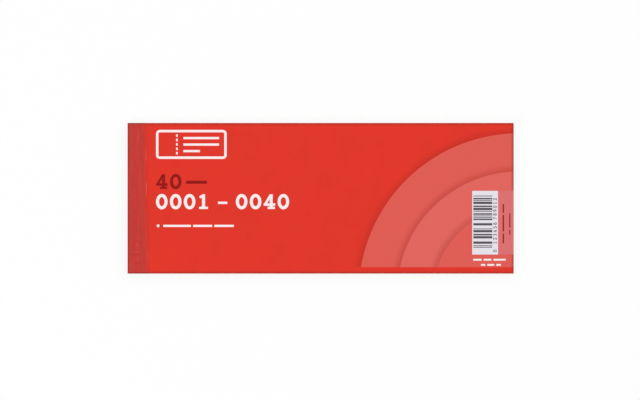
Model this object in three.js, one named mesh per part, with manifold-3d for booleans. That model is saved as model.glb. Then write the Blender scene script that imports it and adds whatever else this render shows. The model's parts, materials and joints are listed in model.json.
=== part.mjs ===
// A cheque-style receipt book with a taped spine, lying closed with its front cover up.
// Sizes are in millimetres. X runs from the spine to the free edge, Y towards the cover's top
// edge and Z through the thickness. The origin is the middle of the footprint, under the book.
import * as THREE from 'three';
import { mergeVertices } from 'three/addons/utils/BufferGeometryUtils.js';
import Module from 'manifold-3d';

// Trimmed book
const BOOK_LENGTH = 202;
const BOOK_HEIGHT = 78.8;

// Leaves
const LEAF_COUNT = 40;
const LEAF_THICKNESS = 0.08;
const LEAF_AIR = 0.01;

// Receipts: those of a few leaves in the middle are separate slips, the others stay joined
const FIRST_LOOSE_RECEIPT = 17;
const LOOSE_RECEIPT_COUNT = 8;
const COUNTERFOIL_LENGTH = 55;
const TEAR_GAP = 0.3;
const SLIT_LENGTH = 4;
const SLIT_WIDTH = 0.3;
const SLIT_BRIDGE = 2.4;

// Covers
const COVER_THICKNESS = 0.3;

// Spine tape: its front edge was laid a little askew
const TAPE_THICKNESS = 0.15;
const TAPE_FRONT_LAP_AT_TOP = 9.6;
const TAPE_FRONT_LAP_AT_BOTTOM = 10.6;
const TAPE_BACK_LAP = 10.2;

// Hinge crease, just past the tape: everything on its spine side is clamped
const CREASE_SETBACK = 0.3;
const CREASE_GAP = 0.3;

// Staples
const STAPLE_CENTRE_FROM_EDGE = 13.4;
const STAPLE_FROM_SPINE = 5.5;
const STAPLE_CROWN_LENGTH = 12;
const STAPLE_WIRE_WIDTH = 0.7;
const STAPLE_WIRE_THICKNESS = 0.5;
const STAPLE_CLINCH_LENGTH = 4;
const STAPLE_CLEARANCE = 0.3;

// Finishes
const COVER_RED = 0xe0382e;
const TAPE_RED = 0xc63c38;
const PAPER_WHITE = 0xf7f5ee;
const STEEL_GREY = 0xb9bbbd;
const CARD_ROUGHNESS = 0.42;
const TAPE_ROUGHNESS = 0.62;
const PAPER_ROUGHNESS = 0.85;
const STEEL_ROUGHNESS = 0.3;

// Levels through the thickness
const leafPitch = LEAF_THICKNESS + LEAF_AIR;
const stackBottom = COVER_THICKNESS + LEAF_AIR;
const stackTop = stackBottom + LEAF_COUNT * leafPitch;
const bookTop = stackTop + COVER_THICKNESS;
const clampBottom = TAPE_THICKNESS + COVER_THICKNESS;
const clampTop = bookTop - clampBottom;

// Places along X and Y
const spineX = -BOOK_LENGTH / 2;
const freeEdgeX = BOOK_LENGTH / 2;
const topEdgeY = BOOK_HEIGHT / 2;
const bottomEdgeY = -BOOK_HEIGHT / 2;
const clampStartX = spineX + TAPE_THICKNESS;
const widestLap = Math.max(TAPE_FRONT_LAP_AT_TOP, TAPE_FRONT_LAP_AT_BOTTOM, TAPE_BACK_LAP);
const creaseX = spineX + widestLap + CREASE_SETBACK;
const clampEndX = creaseX - CREASE_GAP / 2;
const flapStartX = creaseX + CREASE_GAP / 2;
const tearX = spineX + COUNTERFOIL_LENGTH;

const wasm = await Module();
wasm.setup();

function cardFinish() {
  return new THREE.MeshStandardMaterial({ color: COVER_RED, roughness: CARD_ROUGHNESS, metalness: 0 });
}

function tapeFinish() {
  return new THREE.MeshStandardMaterial({ color: TAPE_RED, roughness: TAPE_ROUGHNESS, metalness: 0 });
}

function paperFinish() {
  return new THREE.MeshStandardMaterial({ color: PAPER_WHITE, roughness: PAPER_ROUGHNESS, metalness: 0 });
}

function steelFinish() {
  return new THREE.MeshStandardMaterial({ color: STEEL_GREY, roughness: STEEL_ROUGHNESS, metalness: 1 });
}

function namedMesh(name, geometry, finish) {
  const mesh = new THREE.Mesh(geometry, finish);
  mesh.name = name;
  return mesh;
}

// A block that spans the given ranges
function block([x0, x1], [y0, y1], [z0, z1]) {
  const geometry = new THREE.BoxGeometry(x1 - x0, y1 - y0, z1 - z0);
  geometry.translate((x0 + x1) / 2, (y0 + y1) / 2, (z0 + z1) / 2);
  return geometry;
}

function solidOf(geometry) {
  const bare = geometry.clone();
  bare.deleteAttribute('normal');
  bare.deleteAttribute('uv');
  const merged = mergeVertices(bare);
  const vertProperties = Float32Array.from(merged.attributes.position.array);
  const triVerts = Uint32Array.from(merged.index.array);
  return new wasm.Manifold(new wasm.Mesh({ numProp: 3, vertProperties, triVerts }));
}

function geometryOf(solid) {
  const mesh = solid.getMesh();
  const geometry = new THREE.BufferGeometry();
  geometry.setAttribute('position', new THREE.BufferAttribute(mesh.vertProperties, mesh.numProp));
  geometry.setIndex(new THREE.BufferAttribute(mesh.triVerts, 1));
  geometry.computeVertexNormals();
  return geometry;
}

function cut(geometry, cutters) {
  let solid = solidOf(geometry);
  for (const cutter of cutters) {
    solid = solid.subtract(solidOf(cutter));
  }
  return geometryOf(solid);
}

function join(geometries) {
  const solids = geometries.map(solidOf);
  return geometryOf(solids.reduce((whole, next) => whole.add(next)));
}

// Extrudes an outline in the XY plane from level z upwards
function sheet(shape, z, thickness) {
  const geometry = new THREE.ExtrudeGeometry(shape, { depth: thickness, bevelEnabled: false });
  geometry.translate(0, 0, z);
  return geometry;
}

function outline(points) {
  return new THREE.Shape(points.map(([x, y]) => new THREE.Vector2(x, y)));
}

function stapleCentresY() {
  return [topEdgeY - STAPLE_CENTRE_FROM_EDGE, bottomEdgeY + STAPLE_CENTRE_FROM_EDGE];
}

// The room that the staples need in the pieces they pass through
function staplePockets() {
  const halfLength = STAPLE_CROWN_LENGTH / 2 + STAPLE_CLEARANCE;
  const halfWidth = STAPLE_WIRE_WIDTH / 2 + STAPLE_CLEARANCE;
  const depth = STAPLE_WIRE_THICKNESS + STAPLE_CLEARANCE;
  const legHole = STAPLE_WIRE_THICKNESS + 2 * STAPLE_CLEARANCE;
  const centreX = spineX + STAPLE_FROM_SPINE;
  const rangeX = [centreX - halfWidth, centreX + halfWidth];
  const pockets = [];
  for (const y of stapleCentresY()) {
    const rangeY = [y - halfLength, y + halfLength];
    pockets.push(block(rangeX, rangeY, [bookTop - TAPE_THICKNESS - depth, bookTop]));
    pockets.push(block(rangeX, rangeY, [0, TAPE_THICKNESS + depth]));
    pockets.push(block(rangeX, [y - halfLength, y - halfLength + legHole], [0, bookTop]));
    pockets.push(block(rangeX, [y + halfLength - legHole, y + halfLength], [0, bookTop]));
  }
  return pockets;
}

function frontCover() {
  const geometry = block([flapStartX, freeEdgeX], [bottomEdgeY, topEdgeY], [stackTop, bookTop]);
  return namedMesh('front_cover', geometry, cardFinish());
}

// The strip of the front cover that is stapled down under the tape
function frontCoverMargin() {
  const strip = block(
    [clampStartX, clampEndX],
    [bottomEdgeY, topEdgeY],
    [clampTop, clampTop + COVER_THICKNESS],
  );
  return namedMesh('front_cover_margin', cut(strip, staplePockets()), cardFinish());
}

// The back cover steps up by the tape's thickness where the tape laps it
function backCover() {
  const strip = block(
    [clampStartX, creaseX],
    [bottomEdgeY, topEdgeY],
    [TAPE_THICKNESS, clampBottom],
  );
  const panel = block([clampEndX, freeEdgeX], [bottomEdgeY, topEdgeY], [0, COVER_THICKNESS]);
  const whole = join([strip, panel]);
  return namedMesh('back_cover', cut(whole, staplePockets()), cardFinish());
}

// The clamped inner margins of all the leaves, pressed together as one block
function boundMargin() {
  const margins = block([clampStartX, clampEndX], [bottomEdgeY, topEdgeY], [clampBottom, clampTop]);
  return namedMesh('bound_margin', cut(margins, staplePockets()), paperFinish());
}

function spineTape() {
  const frontLap = sheet(
    outline([
      [spineX, bottomEdgeY],
      [spineX + TAPE_FRONT_LAP_AT_BOTTOM, bottomEdgeY],
      [spineX + TAPE_FRONT_LAP_AT_TOP, topEdgeY],
      [spineX, topEdgeY],
    ]),
    bookTop - TAPE_THICKNESS,
    TAPE_THICKNESS,
  );
  const backLap = block(
    [spineX, spineX + TAPE_BACK_LAP],
    [bottomEdgeY, topEdgeY],
    [0, TAPE_THICKNESS],
  );
  const spine = block([spineX, clampStartX], [bottomEdgeY, topEdgeY], [0, bookTop]);
  return namedMesh('spine_tape', join([frontLap, spine, backLap]), tapeFinish());
}

// A flat-wire staple: crown on the front, legs through the book, ends clinched on the back
function staple(name, centreY) {
  const halfCrown = STAPLE_CROWN_LENGTH / 2;
  const centreX = spineX + STAPLE_FROM_SPINE;
  const wireX = [centreX - STAPLE_WIRE_WIDTH / 2, centreX + STAPLE_WIRE_WIDTH / 2];
  const crownTop = bookTop - TAPE_THICKNESS;
  const clinchZ = [TAPE_THICKNESS, TAPE_THICKNESS + STAPLE_WIRE_THICKNESS];
  const crown = block(
    wireX,
    [centreY - halfCrown, centreY + halfCrown],
    [crownTop - STAPLE_WIRE_THICKNESS, crownTop],
  );
  const parts = [crown];
  for (const side of [-1, 1]) {
    const outerY = centreY + side * halfCrown;
    const legY = [outerY, outerY - side * STAPLE_WIRE_THICKNESS].sort((a, b) => a - b);
    const clinchY = [outerY, outerY - side * STAPLE_CLINCH_LENGTH].sort((a, b) => a - b);
    parts.push(block(wireX, legY, [TAPE_THICKNESS, crownTop]));
    parts.push(block(wireX, clinchY, clinchZ));
  }
  return namedMesh(name, join(parts), steelFinish());
}

// The lowest Z of a leaf, counted from 1 under the front cover
function leafLevel(number) {
  return stackTop - number * leafPitch;
}

function leafLabel(number) {
  return String(number).padStart(2, '0');
}

function hasLooseReceipt(number) {
  return number >= FIRST_LOOSE_RECEIPT && number < FIRST_LOOSE_RECEIPT + LOOSE_RECEIPT_COUNT;
}

// A row of slits along the perforation, centred on the leaf's height
function perforationSlits() {
  const pitch = SLIT_LENGTH + SLIT_BRIDGE;
  const count = Math.max(1, Math.floor((BOOK_HEIGHT - SLIT_BRIDGE) / pitch));
  const firstY = -((count - 1) * pitch + SLIT_LENGTH) / 2;
  const x0 = tearX - SLIT_WIDTH / 2;
  const x1 = tearX + SLIT_WIDTH / 2;
  return Array.from({ length: count }, (_, index) => {
    const y0 = firstY + index * pitch;
    const y1 = y0 + SLIT_LENGTH;
    return outline([[x0, y0], [x0, y1], [x1, y1], [x1, y0]]);
  });
}

function wholeLeaf(number) {
  const shape = outline([
    [flapStartX, bottomEdgeY],
    [freeEdgeX, bottomEdgeY],
    [freeEdgeX, topEdgeY],
    [flapStartX, topEdgeY],
  ]);
  shape.holes = perforationSlits();
  const geometry = sheet(shape, leafLevel(number), LEAF_THICKNESS);
  return namedMesh(`leaf_${leafLabel(number)}`, geometry, paperFinish());
}

function leafStrip(name, number, rangeX) {
  const level = leafLevel(number);
  const geometry = block(rangeX, [bottomEdgeY, topEdgeY], [level, level + LEAF_THICKNESS]);
  return namedMesh(name, geometry, paperFinish());
}

function counterfoil(number) {
  return leafStrip(`counterfoil_${leafLabel(number)}`, number, [flapStartX, tearX - TEAR_GAP / 2]);
}

function receipt(number) {
  return leafStrip(`receipt_${leafLabel(number)}`, number, [tearX + TEAR_GAP / 2, freeEdgeX]);
}

const book = new THREE.Group();
book.add(frontCover(), frontCoverMargin(), backCover(), boundMargin(), spineTape());
const [upperY, lowerY] = stapleCentresY();
book.add(staple('staple_upper', upperY), staple('staple_lower', lowerY));
for (let number = 1; number <= LEAF_COUNT; number += 1) {
  if (hasLooseReceipt(number)) {
    book.add(counterfoil(number), receipt(number));
  } else {
    book.add(wholeLeaf(number));
  }
}

export default book;
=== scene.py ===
"""Dresses a long receipt book: printed card cover, taped spine and forty perforated leaves.

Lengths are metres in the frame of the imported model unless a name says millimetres. X runs from
the spine to the free edge, Y towards the cover's top edge and Z out of the front cover.
"""

import json
import logging
import math
import random
from collections.abc import Callable, Sequence
from dataclasses import dataclass, field, replace
from enum import Enum
from typing import ClassVar

import bpy
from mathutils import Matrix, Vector
from mathutils.geometry import delaunay_2d_cdt


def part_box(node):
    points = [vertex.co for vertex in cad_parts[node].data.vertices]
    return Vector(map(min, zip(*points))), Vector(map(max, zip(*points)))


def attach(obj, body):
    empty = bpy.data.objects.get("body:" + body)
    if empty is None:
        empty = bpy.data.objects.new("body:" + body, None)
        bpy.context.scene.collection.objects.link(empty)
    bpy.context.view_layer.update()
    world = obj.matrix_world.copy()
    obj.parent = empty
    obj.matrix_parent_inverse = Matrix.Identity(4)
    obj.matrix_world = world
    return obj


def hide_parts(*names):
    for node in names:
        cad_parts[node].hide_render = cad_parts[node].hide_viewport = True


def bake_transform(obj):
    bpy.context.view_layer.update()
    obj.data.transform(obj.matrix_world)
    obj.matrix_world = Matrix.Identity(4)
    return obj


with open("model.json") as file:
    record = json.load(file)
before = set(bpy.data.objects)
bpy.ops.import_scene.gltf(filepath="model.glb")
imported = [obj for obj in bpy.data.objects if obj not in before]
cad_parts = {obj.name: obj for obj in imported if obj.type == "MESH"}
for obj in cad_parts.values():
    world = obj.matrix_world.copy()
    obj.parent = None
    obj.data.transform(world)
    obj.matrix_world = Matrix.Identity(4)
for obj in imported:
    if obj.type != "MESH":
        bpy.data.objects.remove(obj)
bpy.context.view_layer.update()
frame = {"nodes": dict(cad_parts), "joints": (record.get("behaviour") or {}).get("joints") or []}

LOG = logging.getLogger("receipt_book")

MM = 0.001
PLACE_ATTRIBUTE = "rest_place"
LAP_ATTRIBUTE = "lap_distance"
PRESS_ATTRIBUTE = "staple_press"
SHARP_ANGLE = math.radians(35.0)
TRIM_SEED = 11

Socket = bpy.types.NodeSocket
Input = float | tuple[float, ...] | Socket
Point = tuple[float, float]
Point3 = tuple[float, float, float]
Corners = tuple[int, ...]
Glyph = tuple[list[Point], list[Corners]]
Range = tuple[float, float]
Colour = tuple[float, float, float, float]
WHITE: Colour = (1.0, 1.0, 1.0, 1.0)


def smooth_step(share: float) -> float:
    """Eases a share from 0 to 1, flat at both ends.

    Args:
        share: The share, which is clamped to 0 and 1.

    Returns:
        The eased share.
    """
    held = min(max(share, 0.0), 1.0)
    return held * held * (3.0 - 2.0 * held)


def paint(code: str) -> Colour:
    """Turns an sRGB screen colour into the linear colour that a shader takes.

    Args:
        code: Six hexadecimal digits, red, green and blue.

    Returns:
        Linear red, green and blue, and an alpha of 1.
    """
    shares = [int(code[start:start + 2], 16) / 255.0 for start in (0, 2, 4)]
    linear = [s / 12.92 if s <= 0.04045 else ((s + 0.055) / 1.055) ** 2.4 for s in shares]
    return (linear[0], linear[1], linear[2], 1.0)


def spread(start: float, end: float, count: int) -> list[float]:
    """Evenly spaced values from start to end.

    Args:
        start: The first value.
        end: The last value.
        count: How many values, at least two.

    Returns:
        The values, both ends included.
    """
    return [start + (end - start) * index / (count - 1) for index in range(count)]


# Sizes


@dataclass(frozen=True)
class BookPlan:
    """The book's levels and edges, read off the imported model."""

    spine_x: float
    free_x: float
    bottom_y: float
    top_y: float
    top_z: float
    crease_x: float
    clamp_end_x: float
    clamp_bottom: float
    clamp_top: float
    stack_bottom: float
    stack_top: float
    tear_x: float
    leaf_count: int
    loose_leaves: tuple[int, ...]
    tape_thickness: float
    ramp: float = 2.6 * MM
    bend_length: float = 3.4 * MM
    bend_steps: int = 15
    front_lap_top: float = 9.6 * MM
    front_lap_bottom: float = 10.6 * MM

    @classmethod
    def from_frame(cls) -> "BookPlan":
        """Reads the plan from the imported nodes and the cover's hinge.

        Returns:
            The plan of the book at rest.
        """
        cover_low, cover_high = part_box("front_cover")
        tape_low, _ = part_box("spine_tape")
        margin_low, margin_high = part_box("bound_margin")
        strip_low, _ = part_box("front_cover_margin")
        loose = sorted(int(name[-2:]) for name in frame["nodes"] if name.startswith("receipt_"))
        leaves = [name for name in frame["nodes"] if name.startswith(("leaf_", "counterfoil_"))]
        slip_low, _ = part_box(f"receipt_{loose[0]:02d}")
        _, stub_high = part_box(f"counterfoil_{loose[0]:02d}")
        hinge = next(joint for joint in frame["joints"] if joint["name"] == "cover_hinge")
        return cls(
            spine_x=tape_low.x,
            free_x=cover_high.x,
            bottom_y=cover_low.y,
            top_y=cover_high.y,
            top_z=cover_high.z,
            crease_x=hinge["pos_m"][0],
            clamp_end_x=margin_high.x,
            clamp_bottom=margin_low.z,
            clamp_top=margin_high.z,
            stack_bottom=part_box("leaf_40")[0].z,
            stack_top=cover_low.z,
            tear_x=(slip_low.x + stub_high.x) / 2,
            leaf_count=len(leaves),
            loose_leaves=tuple(loose),
            tape_thickness=strip_low.x - tape_low.x,
        )

    @property
    def leaf_pitch(self) -> float:
        """The height that one leaf takes in the flat stack."""
        return (self.stack_top - self.stack_bottom) / self.leaf_count

    @property
    def clamped_pitch(self) -> float:
        """The height that one leaf takes between the staples."""
        return (self.clamp_top - self.clamp_bottom) / self.leaf_count

    def pinched(self, x: float, clamped: float, flat: float) -> float:
        """The height of a sheet that rises or falls from the clamped spine to the flat stack.

        Args:
            x: The place across the book.
            clamped: The sheet's height at the crease.
            flat: The sheet's height past the ramp.

        Returns:
            The height at x.
        """
        return clamped + (flat - clamped) * smooth_step((x - self.crease_x) / self.ramp)

    @property
    def lap_lean(self) -> float:
        """How far the tape's front edge moves along X for each step up Y."""
        return (self.front_lap_top - self.front_lap_bottom) / (self.top_y - self.bottom_y)

    def front_lap(self, y: float) -> float:
        """How far the tape laps over the front at a height, its edge taken as straight."""
        return self.front_lap_bottom + self.lap_lean * (y - self.bottom_y)

    def bend_columns(self) -> list[float]:
        """The columns of a sheet from the clamped edge to the end of its bend."""
        bend_end = self.crease_x + self.bend_length
        return [self.clamp_end_x, *spread(self.crease_x, bend_end, self.bend_steps)]

    def bend(self, piece: bpy.types.Object, body: str) -> None:
        """Bakes a sheet's placement into its mesh, where it rests.

        Args:
            piece: The sheet, at rest and with no parent.
            body: Not used.
        """
        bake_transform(piece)


# Shader nodes


@dataclass(frozen=True)
class Grain:
    """One noise: the size of a blotch, how it is squeezed on each axis, and its finer layers."""

    size_mm: float
    squeeze: Point3 = (1.0, 1.0, 1.0)
    detail: float = 3.0


class NodeCanvas:
    """Adds and links nodes in one node tree."""

    def __init__(self, tree: bpy.types.NodeTree) -> None:
        """Keeps the tree that the nodes go into."""
        self.tree = tree

    def feed(self, socket: Socket, value: Input) -> None:
        """Links a socket, or sets its value.

        Args:
            socket: The input to feed.
            value: An output to link, or a plain value.
        """
        if isinstance(value, bpy.types.NodeSocket):
            self.tree.links.new(value, socket)
        else:
            socket.default_value = value

    def add(self, kind: str, **settings: object) -> bpy.types.Node:
        """Adds a node.

        Args:
            kind: The node's type.
            **settings: Its properties by name.

        Returns:
            The node.
        """
        node = self.tree.nodes.new(kind)
        for name, value in settings.items():
            setattr(node, name, value)
        return node

    def math(self, operation: str, first: Input, second: Input = 0.0) -> Socket:
        """Works out one sum.

        Args:
            operation: The Math node's operation.
            first: The first value.
            second: The second value.

        Returns:
            The result.
        """
        node = self.add("ShaderNodeMath", operation=operation)
        self.feed(node.inputs[0], first)
        self.feed(node.inputs[1], second)
        return node.outputs[0]

    def most(self, values: Sequence[Socket]) -> Socket:
        """The largest of several masks.

        Args:
            values: One mask or more.

        Returns:
            The largest of them at each point.
        """
        found = values[0]
        for value in values[1:]:
            found = self.math("MAXIMUM", found, value)
        return found

    def total(self, first: Socket, first_share: float, second: Socket, second_share: float) -> Socket:
        """Adds two values, each at its own share.

        Args:
            first: The first value.
            first_share: What it is multiplied by.
            second: The second value.
            second_share: What it is multiplied by.

        Returns:
            The sum.
        """
        scaled = self.math("MULTIPLY", second, second_share)
        return self.math("ADD", self.math("MULTIPLY", first, first_share), scaled)

    def stretch(self, place: Socket, factors: Point3) -> Socket:
        """Scales a place by its axes.

        Args:
            place: The place.
            factors: The factor along each axis.

        Returns:
            The scaled place.
        """
        node = self.add("ShaderNodeVectorMath", operation="MULTIPLY")
        self.feed(node.inputs[0], place)
        node.inputs[1].default_value = factors
        return node.outputs[0]

    def split(self, place: Socket) -> tuple[Socket, Socket, Socket]:
        """The X, Y and Z of a place or a direction.

        Args:
            place: The place or the direction.

        Returns:
            The three values.
        """
        node = self.add("ShaderNodeSeparateXYZ")
        self.feed(node.inputs[0], place)
        return node.outputs[0], node.outputs[1], node.outputs[2]

    def ramp(self, value: Input, low: Input, high: Input, smooth: bool = True) -> Socket:
        """Maps low to 0 and high to 1, and holds the rest.

        Args:
            value: The value to map.
            low: What becomes 0.
            high: What becomes 1.
            smooth: Whether the ends are eased.

        Returns:
            A mask from 0 to 1.
        """
        node = self.add("ShaderNodeMapRange")
        node.interpolation_type = "SMOOTHSTEP" if smooth else "LINEAR"
        self.feed(node.inputs["Value"], value)
        self.feed(node.inputs["From Min"], low)
        self.feed(node.inputs["From Max"], high)
        return node.outputs[0]

    def fade(self, value: Input, low: Input, high: Input) -> Socket:
        """A mask that falls from 1 at low to 0 at high, with eased ends."""
        return self.math("SUBTRACT", 1.0, self.ramp(value, low, high))

    def remap(self, mask: Socket, at_zero: float, at_one: float) -> Socket:
        """Turns a mask into a value between two others.

        Args:
            mask: A mask from 0 to 1.
            at_zero: The value where the mask is 0.
            at_one: The value where the mask is 1.

        Returns:
            The value.
        """
        node = self.add("ShaderNodeMapRange")
        self.feed(node.inputs["Value"], mask)
        node.inputs["To Min"].default_value = at_zero
        node.inputs["To Max"].default_value = at_one
        return node.outputs[0]

    def mix(self, share: Input, first: Input, second: Input) -> Socket:
        """Mixes two colours.

        Args:
            share: How much of the second colour there is.
            first: The first colour.
            second: The second colour.

        Returns:
            The mixed colour.
        """
        node = self.add("ShaderNodeMix", data_type="RGBA")
        factor, colours = node.inputs[0], [s for s in node.inputs if s.type == "RGBA"]
        self.feed(factor, share)
        self.feed(colours[0], first)
        self.feed(colours[1], second)
        return next(s for s in node.outputs if s.type == "RGBA")

    def lay(self, colour: Input, over: Input, mask: Socket, share: float) -> Socket:
        """Lays a colour over another one where a mask is.

        Args:
            colour: The colour below.
            over: The colour that goes over it.
            mask: Where it goes, from 0 to 1.
            share: How strongly it covers where the mask is 1.

        Returns:
            The colour of both.
        """
        return self.mix(self.math("MULTIPLY", mask, share), colour, over)

    def noise(self, place: Socket, grain: Grain) -> Socket:
        """Smooth random values.

        Args:
            place: A place in millimetres.
            grain: The noise's size, squeeze and detail.

        Returns:
            Values round a half.
        """
        node = self.add("ShaderNodeTexNoise")
        self.feed(node.inputs["Vector"], self.stretch(place, grain.squeeze))
        node.inputs["Scale"].default_value = 1.0 / grain.size_mm
        node.inputs["Detail"].default_value = grain.detail
        return node.outputs[0]

    def group(self, group: bpy.types.NodeTree, **values: Input) -> bpy.types.Node:
        """Places a node group.

        Args:
            group: The group.
            **values: Its inputs, with underscores for spaces.

        Returns:
            The group's node.
        """
        node = self.add("ShaderNodeGroup", node_tree=group)
        for name, value in values.items():
            self.feed(node.inputs[name.replace("_", " ")], value)
        return node


class Effect(NodeCanvas):
    """A shader node group being built, with named inputs and outputs."""

    def __init__(self, name: str, numbers: dict[str, float], outputs: Sequence[str]) -> None:
        """Makes the group with a Place input, number inputs and number outputs.

        Args:
            name: The group's name.
            numbers: The number inputs and their usual values.
            outputs: The names of the outputs.
        """
        tree = bpy.data.node_groups.new(name, "ShaderNodeTree")
        super().__init__(tree)
        tree.interface.new_socket("Place", in_out="INPUT", socket_type="NodeSocketVector")
        for label, usual in numbers.items():
            made = tree.interface.new_socket(label, in_out="INPUT", socket_type="NodeSocketFloat")
            made.default_value = usual
        for label in outputs:
            tree.interface.new_socket(label, in_out="OUTPUT", socket_type="NodeSocketFloat")
        self.entry = self.add("NodeGroupInput")
        self.exit = self.add("NodeGroupOutput")

    def given(self, name: str) -> Socket:
        """The group's own input of that name."""
        return self.entry.outputs[name]

    def give(self, name: str, value: Socket) -> None:
        """Sends a value to the group's output of that name."""
        self.feed(self.exit.inputs[name], value)


@dataclass(frozen=True)
class PaperFibres:
    """The felted grain of paper and card."""

    cloud: Grain = Grain(9.0, detail=4.0)
    felt: Grain = Grain(0.55, (1.0, 2.2, 1.0), 5.0)
    fleck: Grain = Grain(0.9, (3.0, 1.0, 1.0), 2.0)
    cloud_share: float = 0.4
    fleck_share: float = 0.5
    tone_range: Range = (0.32, 0.68)
    height_range: Range = (0.4, 1.1)

    def build(self) -> bpy.types.NodeTree:
        """Builds the group.

        Returns:
            A group with the outputs Tone and Height.
        """
        effect = Effect("paper_fibres", {"Grain": 1.0}, ["Tone", "Height"])
        scaled = effect.add("ShaderNodeVectorMath", operation="SCALE")
        effect.feed(scaled.inputs[0], effect.given("Place"))
        effect.feed(scaled.inputs["Scale"], effect.given("Grain"))
        place = scaled.outputs[0]
        cloud = effect.noise(place, self.cloud)
        felt = effect.noise(place, self.felt)
        fleck = effect.noise(place, self.fleck)
        tone = effect.total(cloud, self.cloud_share, felt, 1.0 - self.cloud_share)
        effect.give("Tone", effect.ramp(tone, *self.tone_range))
        height = effect.total(felt, 1.0, fleck, self.fleck_share)
        effect.give("Height", effect.ramp(height, *self.height_range, smooth=False))
        return effect.tree


@dataclass(frozen=True)
class EdgeShadeAndWear:
    """The painted shade along the border of a rectangle that is centred on the origin, and its worn
    patches.
    """

    patches: Grain = Grain(2.4, detail=5.0)
    patch_range: Range = (0.52, 0.68)

    def build(self) -> bpy.types.NodeTree:
        """Builds the group.

        Returns:
            A group with the outputs Edge Shade, painted shade at the edge, and Rub, wear broken up into
            patches.
        """
        numbers = {"Half Length": 101.0, "Half Height": 39.4, "Line Width": 0.4, "Rub Width": 1.2}
        effect = Effect("worn_edge", numbers, ["Line", "Rub"])
        place = effect.given("Place")
        x, y, _ = effect.split(place)
        from_side = effect.math("SUBTRACT", effect.given("Half Length"), effect.math("ABSOLUTE", x))
        from_end = effect.math("SUBTRACT", effect.given("Half Height"), effect.math("ABSOLUTE", y))
        inside = effect.math("MINIMUM", from_side, from_end)
        # Painted shade at the very edge, where the rounded rim turns away from the light.
        effect.give("Line", effect.fade(inside, 0.0, effect.given("Line Width")))
        near = effect.fade(inside, 0.0, effect.given("Rub Width"))
        patchy = effect.ramp(effect.noise(place, self.patches), *self.patch_range)
        effect.give("Rub", effect.math("MULTIPLY", near, patchy))
        return effect.tree


@dataclass(frozen=True)
class PrintedDisc:
    """A printed disc and the soft shadow that it throws outwards."""

    rim_blur_mm: float = 0.1

    def build(self) -> bpy.types.NodeTree:
        """Builds the group.

        Returns:
            A group with the outputs Disc and Shadow.
        """
        numbers = {"Centre X": 0.0, "Centre Y": 0.0, "Radius": 10.0, "Shadow Width": 5.0}
        effect = Effect("printed_disc", numbers, ["Disc", "Shadow"])
        x, y, _ = effect.split(effect.given("Place"))
        across = effect.math("SUBTRACT", x, effect.given("Centre X"))
        along = effect.math("SUBTRACT", y, effect.given("Centre Y"))
        square = effect.math("ADD", effect.math("POWER", across, 2.0), effect.math("POWER", along, 2.0))
        outside = effect.math("SUBTRACT", effect.math("SQRT", square), effect.given("Radius"))
        disc = effect.fade(outside, -self.rim_blur_mm, self.rim_blur_mm)
        effect.give("Disc", disc)
        shadow = effect.fade(outside, 0.0, effect.given("Shadow Width"))
        effect.give("Shadow", effect.math("MULTIPLY", shadow, effect.math("SUBTRACT", 1.0, disc)))
        return effect.tree


@dataclass(frozen=True)
class TapeStreaks:
    """The long streaks and the fine crosswise weave of bookbinding tape."""

    fine: Grain = Grain(0.5, (1.0, 0.06, 1.0))
    broad: Grain = Grain(3.2, (1.0, 0.18, 1.0), 2.0)
    fine_share: float = 0.84
    thread_share: float = 0.25
    tone_range: Range = (0.36, 0.64)
    height_range: Range = (0.1, 0.95)

    def build(self) -> bpy.types.NodeTree:
        """Builds the group.

        Returns:
            A group with the outputs Tone and Height.
        """
        effect = Effect("tape_streaks", {"Weave": 0.42}, ["Tone", "Height"])
        place = effect.given("Place")
        fine = effect.noise(place, self.fine)
        broad = effect.noise(place, self.broad)
        x, y, z = effect.split(place)
        turn = effect.math("DIVIDE", 2.0 * math.pi, effect.given("Weave"))
        warp = effect.math("SINE", effect.math("MULTIPLY", effect.math("ADD", x, z), turn))
        weft = effect.math("SINE", effect.math("MULTIPLY", y, turn))
        threads = effect.math("MULTIPLY", warp, weft)
        tone = effect.total(fine, self.fine_share, broad, 1.0 - self.fine_share)
        effect.give("Tone", effect.ramp(tone, *self.tone_range))
        raised = effect.total(threads, self.thread_share, fine, 1.0)
        effect.give("Height", effect.ramp(raised, *self.height_range, smooth=False))
        return effect.tree


@dataclass(frozen=True)
class TearLine:
    """A row of perforation cuts along Y."""

    cut_share: float = 0.62

    def build(self) -> bpy.types.NodeTree:
        """Builds the group.

        Returns:
            A group with the output Cut.
        """
        effect = Effect("tear_line", {"Tear X": 0.0, "Width": 0.3, "Pitch": 1.1}, ["Cut"])
        x, y, _ = effect.split(effect.given("Place"))
        off_line = effect.math("ABSOLUTE", effect.math("SUBTRACT", x, effect.given("Tear X")))
        half_width = effect.math("MULTIPLY", effect.given("Width"), 0.5)
        on_line = effect.math("LESS_THAN", off_line, half_width)
        step = effect.math("FRACT", effect.math("DIVIDE", y, effect.given("Pitch")))
        in_cut = effect.math("LESS_THAN", step, self.cut_share)
        effect.give("Cut", effect.math("MULTIPLY", on_line, in_cut))
        return effect.tree


class Effects:
    """The surface effects, each built once and placed wherever a finish needs it."""

    def __init__(self) -> None:
        """Builds every effect."""
        self.fibres = PaperFibres().build()
        self.worn_edge = EdgeShadeAndWear().build()
        self.disc = PrintedDisc().build()
        self.streaks = TapeStreaks().build()
        self.tear_line = TearLine().build()


@dataclass(frozen=True)
class Workbench:
    """What every finish and every assembly works from."""

    plan: BookPlan
    effects: Effects


class PlaceSource(Enum):
    """Where a material reads the place of a surface point at rest."""

    RIGID = "rigid"
    SHEET = "sheet"


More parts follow.
